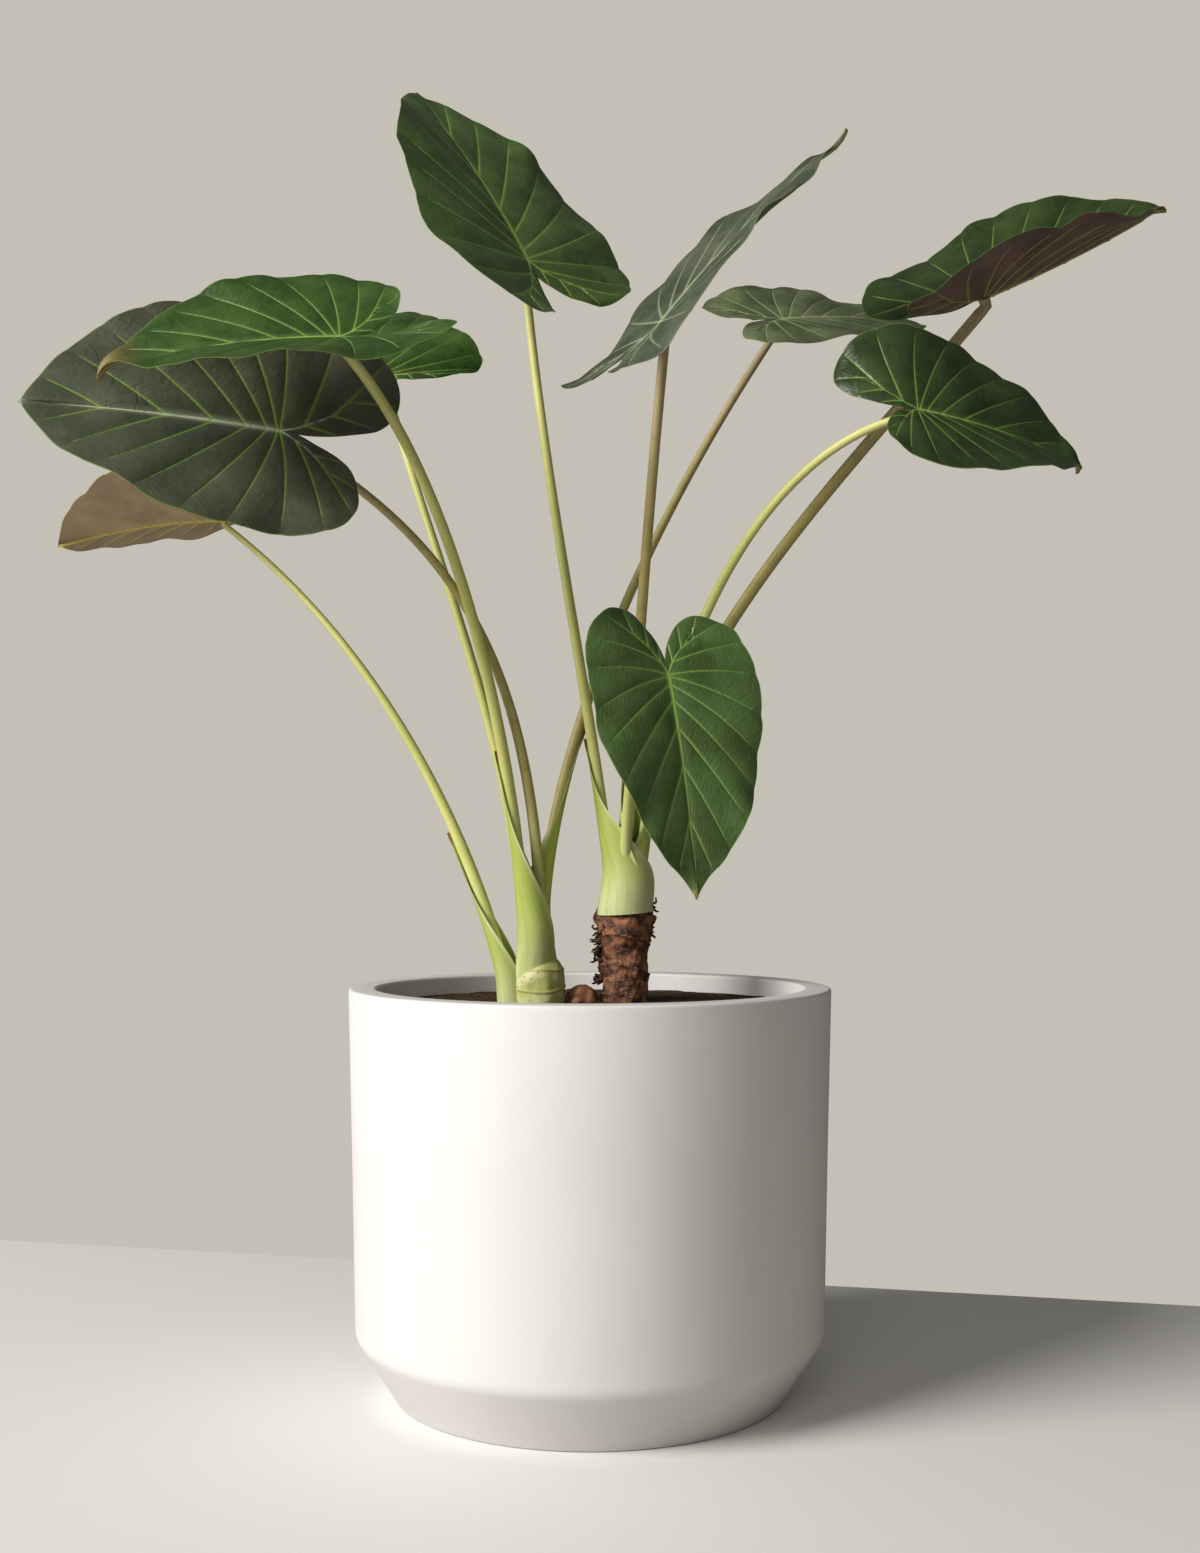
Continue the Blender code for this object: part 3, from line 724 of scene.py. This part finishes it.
# %% [markdown]
# ## Stalks
#
# Ten leaf stalks rise from two shoots. Each is a round, juicy rod that thins towards its blade, so
# it is a tube along a curve. One Geometry Nodes tree makes them all, and the root fibres later:
# it takes a chain of points, gives each a radius by its share of the way, and sweeps a circle
# along it. `share` (0 at the foot, 1 at the end) stays on the points, and the finish uses it to go
# from pale at the foot to green or olive brown above.

# %% A tree that sweeps tubes


def new_tree(name, inputs):
    """A Geometry Nodes tree with one geometry in and out, and the named inputs."""
    tree = bpy.data.node_groups.new(name, "GeometryNodeTree")
    for direction in ("INPUT", "OUTPUT"):
        tree.interface.new_socket("Geometry", in_out=direction, socket_type="NodeSocketGeometry")
    for label, kind in inputs:
        tree.interface.new_socket(label, in_out="INPUT", socket_type="NodeSocket" + kind)
    return tree


def grown(name, mesh, tree, values):
    """Runs the tree on a mesh, with its inputs set by identifier, and returns a plain object."""
    made = bpy.data.objects.new(name, mesh)
    bpy.context.scene.collection.objects.link(made)
    growth = made.modifiers.new("growth", "NODES")
    growth.node_group = tree
    for item in tree.interface.items_tree:
        if item.in_out == "INPUT" and item.name in values:
            growth[item.identifier] = values[item.name]
    depsgraph = bpy.context.evaluated_depsgraph_get()
    final = bpy.data.meshes.new_from_object(made.evaluated_get(depsgraph), preserve_all_data_layers=True,
                                            depsgraph=depsgraph)
    made.modifiers.clear()
    made.data = final
    return made


tree = new_tree("tapered_tubes", [("Foot radius", "Float"), ("End radius", "Float"),
                                  ("Taper power", "Float"), ("Sides", "Int"), ("Finish", "Material")])
given = add(tree, "NodeGroupInput").node.outputs
share = add(tree, "GeometryNodeInputNamedAttribute", {"Name": "share"}, data_type="FLOAT")
rest = add(tree, "ShaderNodeMath", {0: 1.0, 1: share}, operation="SUBTRACT")
swell = add(tree, "ShaderNodeMath", {0: rest, 1: given["Taper power"]}, operation="POWER")
radius = add(tree, "ShaderNodeMapRange", {"Value": swell, "To Min": given["End radius"],
                                          "To Max": given["Foot radius"]})
path = add(tree, "GeometryNodeMeshToCurve", {"Mesh": given["Geometry"]})
ring = add(tree, "GeometryNodeCurvePrimitiveCircle", {"Resolution": given["Sides"], "Radius": 1.0})
turn = add(tree, "GeometryNodeSplineParameter", out="Factor")
ring = add(tree, "GeometryNodeStoreNamedAttribute", {"Geometry": ring, "Name": "around", "Value": turn},
           data_type="FLOAT", domain="POINT")
tube = add(tree, "GeometryNodeCurveToMesh",
           {"Curve": path, "Profile Curve": ring, "Scale": radius, "Fill Caps": True})
tube = add(tree, "GeometryNodeSetShadeSmooth", {"Geometry": tube})
tube = add(tree, "GeometryNodeRealizeInstances", {"Geometry": tube})
tube = add(tree, "GeometryNodeSetMaterial", {"Geometry": tube, "Material": given["Finish"]})
add(tree, "NodeGroupOutput", {"Geometry": tube})
tube_tree = tree


def chains(name, paths):
    """A mesh of separate point chains, each point with its share of the way."""
    mesh = bpy.data.meshes.new(name)
    points = np.vstack(paths)
    edges, shares, start = [], [], 0
    for chain in paths:
        edges += [(start + at, start + at + 1) for at in range(len(chain) - 1)]
        shares += list(np.linspace(0, 1, len(chain)))
        start += len(chain)
    mesh.from_pydata([tuple(p) for p in points], edges, [])
    mesh.attributes.new("share", "FLOAT", "POINT").data.foreach_set("value", shares)
    return mesh


print("tube inputs:", [item.name for item in tube_tree.interface.items_tree])

# %% Stalk finish and stalks
Stem = namedtuple("Stem", "foot middle end fleck flecks")

STEMS = {
    "green": Stem("#D2DA94", "#D6D882", "#DAD68C", "#9CAA4E", 0.10),
    "olive": Stem("#C4C680", "#BBB06C", "#B8A680", "#7E7044", 0.20),
}


def stem_finish(name, stem):
    """Smooth juicy stalk skin: a soft gloss, colour that runs along it, and faint long streaks."""
    made, tree = new_material(name)
    share = add(tree, "ShaderNodeAttribute", out="Fac", attribute_name="share")
    around = add(tree, "ShaderNodeAttribute", out="Fac", attribute_name="around")
    place = add(tree, "ShaderNodeCombineXYZ", {0: around, 1: share})
    drawn = add(tree, "ShaderNodeMapping", {"Vector": place, "Scale": (4, 3, 1)})
    streaks = add(tree, "ShaderNodeTexNoise", {"Vector": drawn, "Scale": 1, "Detail": 1})
    spot = add(tree, "ShaderNodeTexCoord", out="Object")
    mottle = add(tree, "ShaderNodeTexNoise", {"Vector": spot, "Scale": 90, "Detail": 1})
    base = painted(tree, stem.foot, stem.middle, share, 0.02, 0.32)
    base = painted(tree, base, stem.end, share, 0.55, 1.0)
    streaked = painted(tree, base, stem.fleck, streaks, 0.42, 0.70, 0.0, 0.3)
    flecked = painted(tree, streaked, stem.fleck, mottle, 0.48, 0.64, 0.0, stem.flecks)
    surface(tree, flecked, 0.45, streaks, 0.00001, IOR=1.42)
    return made


stem_skin = {name: stem_finish("stalk_skin_" + name, stem) for name, stem in STEMS.items()}


STALK_CLEARANCE = 0.0014       # air between the rim of the CAD stalk's end and the blade
JOINT_DEPTH = 0.0006           # how far below the blade's middle the stalk's last point lies
STALK_POINTS = 72


def stalk_line(leaf, shares):
    """Points of the stalk's centre line at these shares of the way from the shoot (0) to its end."""
    end = np.array(leaf.joint) - turn_of(leaf)[:, 2] * (leaf.top_radius + STALK_CLEARANCE)
    return bezier([leaf.base, leaf.rise, leaf.reach, end], shares)


for leaf in LEAVES:
    joint = np.array(leaf.joint) - turn_of(leaf)[:, 2] * JOINT_DEPTH
    line = np.vstack([stalk_line(leaf, np.linspace(0, 1, STALK_POINTS)), joint])
    stalk = grown("stem_" + leaf.name, chains(leaf.name, [line]), tube_tree,
                  {"Foot radius": leaf.foot_radius, "End radius": leaf.top_radius, "Taper power": 1.5,
                   "Sides": 20, "Finish": stem_skin[leaf.stalk]})
    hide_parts("stalk_" + leaf.name)
    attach(stalk, "root")
print("stalk triangles:", triangles(stalk))

# %% [markdown]
# ## Sheaths
#
# Every stalk of an alocasia widens at its foot into a sheath that wraps the younger stalks. It is
# a thin pale shell: a full collar below, open on one side above, and drawn out to a point that
# ends in a brown papery tip. A sheath here is a grid wound round the stalk's own curve. `start` and
# `end` are shares of the stalk's length, `grip` the radius where it clasps the stalk, `opening` the
# side (in degrees) that opens, by `spread` degrees at the top, and `collar` the share that stays shut.

# %% Sheaths
Sheath = namedtuple("Sheath", "name leaf start end foot_radius grip opening spread collar node")

SHEATHS = [
    Sheath("left_main", "upper_left", -0.060, 0.33, 0.0124, 0.0043, 0, 150, 0.22, "sheath_left"),
    Sheath("low_left", "low_left", -0.05, 0.35, 0.0088, 0.0046, -20, 150, 0.06, None),
    Sheath("centre", "centre_right", -0.02, 0.36, 0.0096, 0.0044, 190, 150, 0.18, None),
    Sheath("right_main", "top", -0.020, 0.30, 0.0176, 0.0042, 0, 150, 0.10, "sheath_right"),
    Sheath("right_inner", "upright", -0.03, 0.33, 0.0118, 0.0043, -50, 150, 0.12, None),
    Sheath("right_outer", "lower_right", -0.03, 0.20, 0.0086, 0.0043, 180, 140, 0.15, None),
]


SHEATH_WALL = 0.0009
SHEATH_LAP = 0.0006            # lifts one edge of the closed collar over the other
SHEATH_ROWS, SHEATH_COLUMNS = 60, 56


def square_to(path):
    """For each point of an upright path, two directions square to it, roughly +X and +Y."""
    ahead = np.gradient(path, axis=0)
    ahead /= np.linalg.norm(ahead, axis=1, keepdims=True)
    east = np.cross(np.array([0.0, 1.0, 0.0]), ahead)
    east /= np.linalg.norm(east, axis=1, keepdims=True)
    return east, np.cross(ahead, east)


def make_sheath(sheath, finish):
    leaf = next(item for item in LEAVES if item.name == sheath.leaf)
    rows, columns = SHEATH_ROWS, SHEATH_COLUMNS
    share = np.linspace(0, 1, rows)
    path = stalk_line(leaf, sheath.start + (sheath.end - sheath.start) * share)
    east, north = square_to(path)
    radius = sheath.grip + (sheath.foot_radius - sheath.grip) * (1 - smooth(share * 1.02)) ** 0.9
    # the closed side hugs the stalk; at the foot a sheath with a CAD node stands on that node
    toward = cos(radians(sheath.opening)) * east + sin(radians(sheath.opening)) * north
    hug = smooth(share * 3)[:, None]
    path = path + toward * hug * (radius - sheath.grip)[:, None]
    if sheath.node:
        low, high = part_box(sheath.node)
        middle = np.array([(low.x + high.x) / 2, (low.y + high.y) / 2, 0])
        path = path + (middle - path[0]) * np.array([1, 1, 0]) * (1 - hug)
    opened = smooth((share - sheath.collar) / (0.95 - sheath.collar)) ** 0.8
    half_turn = pi * 1.03 - radians(sheath.spread) * opened
    half_turn = half_turn * (1 - 0.75 * smooth((share - 0.86) / 0.14))
    across = np.linspace(-1, 1, columns)
    turn = radians(sheath.opening + 180) + half_turn[:, None] * across
    flare = 1 + 0.10 * (np.abs(across) ** 4) * share[:, None]
    out = np.cos(turn)[..., None] * east[:, None] + np.sin(turn)[..., None] * north[:, None]
    lap = SHEATH_LAP * across[None, :, None]
    outer = path[:, None] + out * (radius[:, None] * flare)[..., None] + out * lap
    inner = outer - out * SHEATH_WALL * (1 - 0.75 * np.abs(across) ** 3)[None, :, None]
    count = rows * columns
    points = np.vstack([outer.reshape(-1, 3), inner.reshape(-1, 3)])
    quads = grid_faces(rows, columns)
    ring = list(range(columns))
    ring += [row * columns + columns - 1 for row in range(1, rows)]
    ring += [(rows - 1) * columns + at for at in range(columns - 2, -1, -1)]
    ring += [row * columns for row in range(rows - 2, 0, -1)]
    rim = [(b, a, a + count, b + count) for a, b in zip(ring, ring[1:] + ring[:1])]
    faces = [*quads, *rim, *[tuple(at + count for at in face[::-1]) for face in quads]]
    numbers = {"share": np.tile(np.repeat(share, columns), 2),
               "around": np.tile(across * 0.5 + 0.5, 2 * rows),
               "edge": np.tile(np.abs(across), 2 * rows)}
    return piece("sheath_" + sheath.name, points, faces, [finish], numbers, sharp=60)


# juicy green shell: soft gloss, long fine streaks, a paler thin edge and a dry brown point
sheath_skin, tree = new_material("sheath_skin_pale_green")
share = add(tree, "ShaderNodeAttribute", out="Fac", attribute_name="share")
around = add(tree, "ShaderNodeAttribute", out="Fac", attribute_name="around")
edge = add(tree, "ShaderNodeAttribute", out="Fac", attribute_name="edge")
place = add(tree, "ShaderNodeCombineXYZ", {0: around, 1: share})
drawn = add(tree, "ShaderNodeMapping", {"Vector": place, "Scale": (18, 2.2, 1)})
streaks = add(tree, "ShaderNodeTexNoise", {"Vector": drawn, "Scale": 1, "Detail": 4})
body = painted(tree, "#D6DCA0", "#B4C45E", share, 0.0, 0.45)
body = painted(tree, body, "#93A848", streaks, 0.40, 0.68, 0.0, 0.35)
body = painted(tree, body, "#E2E8B8", edge, 0.80, 1.0, 0.0, 0.7)
body = painted(tree, body, "#7A5A34", share, 0.90, 0.98)
surface(tree, body, 0.42, streaks, 0.00015, IOR=1.42)

for sheath in SHEATHS:
    made = make_sheath(sheath, sheath_skin)
    if sheath.node:
        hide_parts(sheath.node)
    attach(made, "root")
    print(made.name, "triangles:", triangles(made))

# %% [markdown]
# ## Corm and rhizome
#
# The young left shoot sits on a pale green corm with scars where old leaves have come off. The old
# right shoot has grown into a brown rhizome that stands out of the soil: ring upon ring of leaf
# scars, each with a ragged lip. Both are round bodies with a radius that changes along and around
# them, so both are a turned grid with noise. The scars are real steps, not only bump.

# %% Knobbly shoots
RHIZOME_CENTRE = (0.022, 0.010)
RHIZOME_TOP = 0.2985
RING_STEP = 0.0185             # height of one leaf-scar ring
CORM_CENTRE = (-0.0318, 0.0)
CORM_TOP = 0.2645
CORM_SCARS = (0.2455, 0.2575)  # heights of the corm's two scar lines
SCAR_HEIGHT = 0.0007


def lumpy(name, centre, foot, top, radius_at, materials, rows=90, sides=96, lean=0.0):
    """A closed upright body: its radius depends on height and way round, its top leans up to +X."""
    heights = np.linspace(foot, top, rows)
    turns = np.linspace(0, 2 * pi, sides, endpoint=False)
    points, rings = [], []
    for z in heights:
        for a in turns:
            r, ring = radius_at(z, a)
            rise = lean * r * cos(a) * ((z - foot) / (top - foot)) ** 3
            points.append((centre[0] + r * cos(a), centre[1] + r * sin(a), z + rise))
            rings.append(ring)
    faces = grid_faces(rows, sides, closed=True)
    count = len(points)
    points += [(centre[0], centre[1], foot), (centre[0], centre[1], top)]
    rings += [0, 0]
    last = (rows - 1) * sides
    for at in range(sides):
        after = (at + 1) % sides
        faces += [(after, at, count), (last + at, last + after, count + 1)]
    return piece(name, points, faces, materials, {"ring": rings}, sharp=60)


def rhizome_radius(z, a):
    """Stacked leaf scars: each ring slants, swells and ends in a ragged lip."""
    slant = 0.0045 * cos(a - 1.0) + 0.0030 * noise.noise(Vector((cos(a) * 1.3, sin(a) * 1.3, 5)))
    level = (z + slant - SOIL_TOP) / RING_STEP
    step = level - np.floor(level)
    ragged = noise.noise(Vector((cos(a) * 2, sin(a) * 2, np.floor(level))))
    lip = 0.0030 * step ** 4 * (0.6 + 1.2 * ragged)
    lump = 0.0022 * noise.noise(Vector((cos(a) * 1.6, sin(a) * 1.6, z * 75)))
    rough = 0.0008 * noise.noise(Vector((cos(a) * 6, sin(a) * 6, z * 260)))
    knob = 0.0040 * np.exp(-((z - 0.290) / 0.004) ** 2) * max(0.0, cos(a - 3.0)) ** 8
    taper = 0.0142 + 0.0030 * smooth((z - 0.262) / 0.020)
    close = 0.0016 * smooth((z - 0.2955) / 0.0025)
    # the step, stored as "ring", places the bark's painted shade under each lip
    return taper + lip + lump + rough + knob - close, step


def corm_radius(z, a):
    """A squat bulb with two raised scar lines and small eyes."""
    level = (z - SOIL_TOP + 0.006) / (CORM_TOP - SOIL_TOP + 0.006)
    belly = 0.0160 * np.sqrt(np.clip(1 - (max(level - 0.42, 0) / 0.62) ** 3.2, 0.05, 1))
    scar = sum(SCAR_HEIGHT * np.exp(-((z - height - 0.0012 * sin(a * 2 + height * 900)) / 0.0007) ** 2)
               for height in CORM_SCARS)
    lump = 0.0008 * noise.noise(Vector((cos(a) * 2.4, sin(a) * 2.4, z * 130)))
    return belly + scar + lump, scar / SCAR_HEIGHT


# dry scaly bark: matt, in plates of dark and rusty brown, with painted shade under each ring's lip
bark, tree = new_material("rhizome_bark_scaly")
spot = add(tree, "ShaderNodeTexCoord", out="Object")
ring = add(tree, "ShaderNodeAttribute", out="Fac", attribute_name="ring")
stretched = add(tree, "ShaderNodeMapping", {"Vector": spot, "Scale": (1, 1, 1.7)})
plates = add(tree, "ShaderNodeTexNoise", {"Vector": stretched, "Scale": 95, "Detail": 5, "Distortion": 0.6})
fine = add(tree, "ShaderNodeTexNoise", {"Vector": stretched, "Scale": 620, "Detail": 4})
pick = add(tree, "ShaderNodeAttribute", out="Fac", attribute_name="pick")
brown = painted(tree, "#3A2118", "#A8704F", plates, 0.36, 0.66)
brown = painted(tree, brown, "#BE9070", fine, 0.50, 0.72, 0.0, 0.5)
brown = painted(tree, brown, "#C99A72", pick, 0.72, 0.95, 0.0, 0.8)
# painted shade: darkens the downward face under each ring's lip
brown = painted(tree, brown, "#2C1B15", ring, 0.80, 0.99, 0.0, 0.8)
surface(tree, brown, 0.78, plates, 0.0016)

# young corm: pale waxy green, brownish along its scars, with small brown eyes
corm_skin, tree = new_material("corm_skin_pale_green")
spot = add(tree, "ShaderNodeTexCoord", out="Object")
ring = add(tree, "ShaderNodeAttribute", out="Fac", attribute_name="ring")
soft = add(tree, "ShaderNodeTexNoise", {"Vector": spot, "Scale": 110, "Detail": 3})
eyes = add(tree, "ShaderNodeTexVoronoi", {"Vector": spot, "Scale": 260}, out="Distance")
green = painted(tree, "#B6BE6C", "#DAD9A2", soft, 0.35, 0.65)
green = painted(tree, green, "#B89A5C", ring, 0.15, 0.8, 0.0, 0.6)
green = painted(tree, green, "#7C5A34", eyes, 0.10, 0.20, 0.8, 0.0)
surface(tree, green, 0.5, soft, 0.0006, IOR=1.42)

rhizome = lumpy("rhizome_scaly", RHIZOME_CENTRE, 0.172, RHIZOME_TOP, rhizome_radius, [bark],
                rows=150, sides=120)
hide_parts("rhizome")
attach(rhizome, "root")
corm = lumpy("corm_knobbly", CORM_CENTRE, 0.216, CORM_TOP, corm_radius, [corm_skin], lean=0.22)
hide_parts("corm")
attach(corm, "root")
print("rhizome triangles:", triangles(rhizome), "corm triangles:", triangles(corm))

# %% [markdown]
# ## Root fibres
#
# Dead roots stick out of the rhizome as short, kinked brown threads. Each is a random walk that
# starts on the bark and goes outwards, swept by the same tree as the stalks.

# %% Root fibres
FIBRES = 66
FIBRE_STEP = 0.0012            # length of one straight bit of a thread
FIBRE_START = 0.0150           # distance of its first point from the rhizome's axis
TUFTS = [(3.3, 0.273), (3.1, 0.264), (3.6, 0.280), (0.0, 0.281), (-0.2, 0.2965),
         (3.0, 0.252)]         # the way round, in radians, and the height of each tuft

random = np.random.default_rng(7)
threads = []
for at in range(FIBRES):
    way, level = TUFTS[at % len(TUFTS)]
    side, height = random.normal(way, 0.22), random.normal(level, 0.0022)
    path = [np.array([RHIZOME_CENTRE[0] + FIBRE_START * cos(side),
                      RHIZOME_CENTRE[1] + FIBRE_START * sin(side), min(height, RHIZOME_TOP - 0.001)])]
    heading = np.array([cos(side), sin(side), random.uniform(-0.7, 0.7)])
    for _ in range(random.integers(4, 9)):
        heading = heading + random.normal(0, 0.50, 3)
        heading /= np.linalg.norm(heading)
        path.append(path[-1] + heading * FIBRE_STEP)
    threads.append(np.array(path))

# dead root: dry and matt, almost black in places
fibre, tree = new_material("dead_root_fibre")
spot = add(tree, "ShaderNodeTexCoord", out="Object")
patches = add(tree, "ShaderNodeTexNoise", {"Vector": spot, "Scale": 300, "Detail": 2})
surface(tree, painted(tree, "#2E1D16", "#6E4A33", patches, 0.4, 0.6), 0.85)
fibres = grown("root_fibres", chains("root_fibres", threads), tube_tree,
               {"Foot radius": 0.0013, "End radius": 0.0003, "Taper power": 0.7, "Sides": 6, "Finish": fibre})
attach(fibres, "root")
print("fibre triangles:", triangles(fibres))

# %% [markdown]
# ## Potting soil
#
# The soil is peat and bark dust: a dark, uneven bed with loose crumbs. The bed is a turned body
# with a lumpy top that fills the planter. The crumbs repeat thousands of times, so Geometry Nodes
# scatter them on the bed: a 20-faced pebble, turned and sized at random from a fixed seed. The
# tree's inputs say how dense they lie, how small, large and flat they are, how far they tilt, and
# how steep a face may be (the smallest Z of its normal). Each keeps a random number, by which the
# finish picks its brown.

# %% Soil bed
SOIL_SIDES = 150
SOIL_GAP = 0.0004              # air between the soil and the planter's wall


def soil_height(x, y):
    lumps = 0.0011 * noise.noise(Vector((x * 90, y * 90, 3.0)))
    crumbs = 0.0007 * noise.noise(Vector((x * 340, y * 340, 8.0)))
    return SOIL_TOP - 0.0020 + 0.0010 * cos(np.hypot(x, y) * 20) + lumps + crumbs


edge_radius = inner_radius(SOIL_TOP) - SOIL_GAP
rings = np.concatenate([[0.0], np.sqrt(np.linspace(0.0004, 1, 70)) * edge_radius])
turns = np.linspace(0, 2 * pi, SOIL_SIDES, endpoint=False)
points = [(r * cos(a), r * sin(a), soil_height(r * cos(a), r * sin(a))) for r in rings for a in turns]
for r, z in [(inner_radius(0.12) - SOIL_GAP, 0.12), (inner_radius(POT_WAIST_HEIGHT) - SOIL_GAP, 0.049),
             (inner_radius(POT_FLOOR) - 0.012, 0.020), (0.0, POT_FLOOR + 0.0005)]:
    points += [(r * cos(a), r * sin(a), z) for a in turns]
faces = np.array(grid_faces(len(rings) + 4, SOIL_SIDES, closed=True))[:, ::-1]
first, kept = weld(np.array(points), faces)

# damp peat: very dark and without gloss, with a few pale dry crumbs
soil_finish, tree = new_material("damp_peat_soil")
spot = add(tree, "ShaderNodeTexCoord", out="Object")
pick = add(tree, "ShaderNodeAttribute", out="Fac", attribute_name="pick")
patches = add(tree, "ShaderNodeTexNoise", {"Vector": spot, "Scale": 240, "Detail": 4})
peat = painted(tree, "#2E2114", "#55422C", patches, 0.36, 0.64)
peat = painted(tree, peat, "#A88E70", pick, 0.45, 0.95, 0.0, 0.9)
surface(tree, peat, 0.92, patches, 0.0008, Specular_IOR_Level=0.2)

bed = piece("soil_bed", np.array(points)[first], kept, [soil_finish], sharp=70)
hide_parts("potting_soil")
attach(bed, "root")
print("soil bed triangles:", triangles(bed))

# %% Crumbs
tree = new_tree("scattered_crumbs", [("Density", "Float"), ("Smallest", "Float"), ("Largest", "Float"),
                                     ("Flatness", "Float"), ("Tilt", "Float"), ("Steepest", "Float"),
                                     ("Seed", "Int"), ("Finish", "Material")])
given = add(tree, "NodeGroupInput").node.outputs
normal = add(tree, "GeometryNodeInputNormal")
upward = add(tree, "ShaderNodeSeparateXYZ", {0: normal}, out="Z")
level = add(tree, "ShaderNodeMath", {0: upward, 1: given["Steepest"]}, operation="GREATER_THAN")
scattered = add(tree, "GeometryNodeDistributePointsOnFaces",
                {"Mesh": given["Geometry"], "Selection": level, "Density": given["Density"],
                 "Seed": given["Seed"]}).node.outputs
pebble = add(tree, "GeometryNodeMeshIcoSphere", {"Radius": 1.0, "Subdivisions": 1})
size = add(tree, "FunctionNodeRandomValue",
           {2: given["Smallest"], 3: given["Largest"], "Seed": given["Seed"]}, out=1)
flat = add(tree, "ShaderNodeCombineXYZ", {0: 1.0, 1: 1.0, 2: given["Flatness"]})
squash = add(tree, "FunctionNodeRandomValue", {0: (0.6, 0.5, 0.6), 1: (1.4, 1.2, 1.2), "Seed": 5})
squash = add(tree, "ShaderNodeVectorMath", {0: squash, 1: flat}, operation="MULTIPLY")
scale = add(tree, "ShaderNodeVectorMath", {0: squash, "Scale": size}, operation="SCALE")
turn = add(tree, "FunctionNodeRandomValue", {0: (-1.0, -1.0, -3.1), 1: (1.0, 1.0, 3.1), "Seed": 9})
lean = add(tree, "ShaderNodeCombineXYZ", {0: given["Tilt"], 1: given["Tilt"], 2: 1.0})
turn = add(tree, "ShaderNodeVectorMath", {0: turn, 1: lean}, operation="MULTIPLY")
turn = add(tree, "FunctionNodeRotateRotation",
           {"Rotation": scattered["Rotation"], "Rotate By": turn}, rotation_space="LOCAL")
crumbs = add(tree, "GeometryNodeInstanceOnPoints",
             {"Points": scattered["Points"], "Instance": pebble, "Rotation": turn, "Scale": scale})
pick = add(tree, "FunctionNodeRandomValue", {2: 0.0, 3: 1.0, "Seed": 11}, out=1)
crumbs = add(tree, "GeometryNodeStoreNamedAttribute",
             {"Geometry": crumbs, "Name": "pick", "Value": pick}, data_type="FLOAT", domain="INSTANCE")
crumbs = add(tree, "GeometryNodeRealizeInstances", {"Geometry": crumbs})
crumbs = add(tree, "GeometryNodeSetMaterial", {"Geometry": crumbs, "Material": given["Finish"]})
add(tree, "NodeGroupOutput", {"Geometry": crumbs})
crumb_tree = tree

loose = grown("soil_crumbs", bed.data.copy(), crumb_tree,
              {"Density": 120000.0, "Smallest": 0.0007, "Largest": 0.0027, "Flatness": 0.7, "Tilt": 3.1,
               "Steepest": 0.5, "Seed": 3, "Finish": soil_finish})
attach(loose, "root")
print("crumb triangles:", triangles(loose))

# %% [markdown]
# ## Bark flakes and chips
#
# The same tree, with flat instances that lie along the surface, covers the rhizome in loose bark
# flakes. A little heap between the two shoots is covered in bigger chips of the same bark.

# %% Bark flakes and chips
flakes = grown("bark_flakes", rhizome.data.copy(), crumb_tree,
               {"Density": 60000.0, "Smallest": 0.0009, "Largest": 0.0032, "Flatness": 0.22, "Tilt": 0.5,
                "Steepest": -0.7, "Seed": 6, "Finish": bark})
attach(flakes, "root")

HEAP_TOP = 0.2480
HEAP_RADIUS = 0.0110


def heap_radius(z, a):
    """A low mound with a lumpy outline."""
    level = np.clip((HEAP_TOP - z) / (HEAP_TOP - SOIL_TOP), 0.02, 1)
    lump = 0.0022 * noise.noise(Vector((cos(a) * 2, sin(a) * 2, z * 150)))
    return HEAP_RADIUS * level ** 0.38 + lump, 0.0


heap = lumpy("bark_heap", (-0.0050, 0.0040), 0.230, HEAP_TOP, heap_radius, [bark], rows=24, sides=40)
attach(heap, "root")
chips = grown("bark_chips", heap.data.copy(), crumb_tree,
              {"Density": 300000.0, "Smallest": 0.0012, "Largest": 0.0044, "Flatness": 0.30, "Tilt": 1.2,
               "Steepest": -0.5, "Seed": 4, "Finish": bark})
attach(chips, "root")
print("flake triangles:", triangles(flakes), "chip triangles:", triangles(chips))

# %% [markdown]
# ## Last step
#
# The last step counts the triangles of all shown meshes and prints the total.

# %% Finish
total = sum(triangles(o) for o in bpy.data.objects if o.type == "MESH" and not o.hide_render)
print("all triangles:", total)
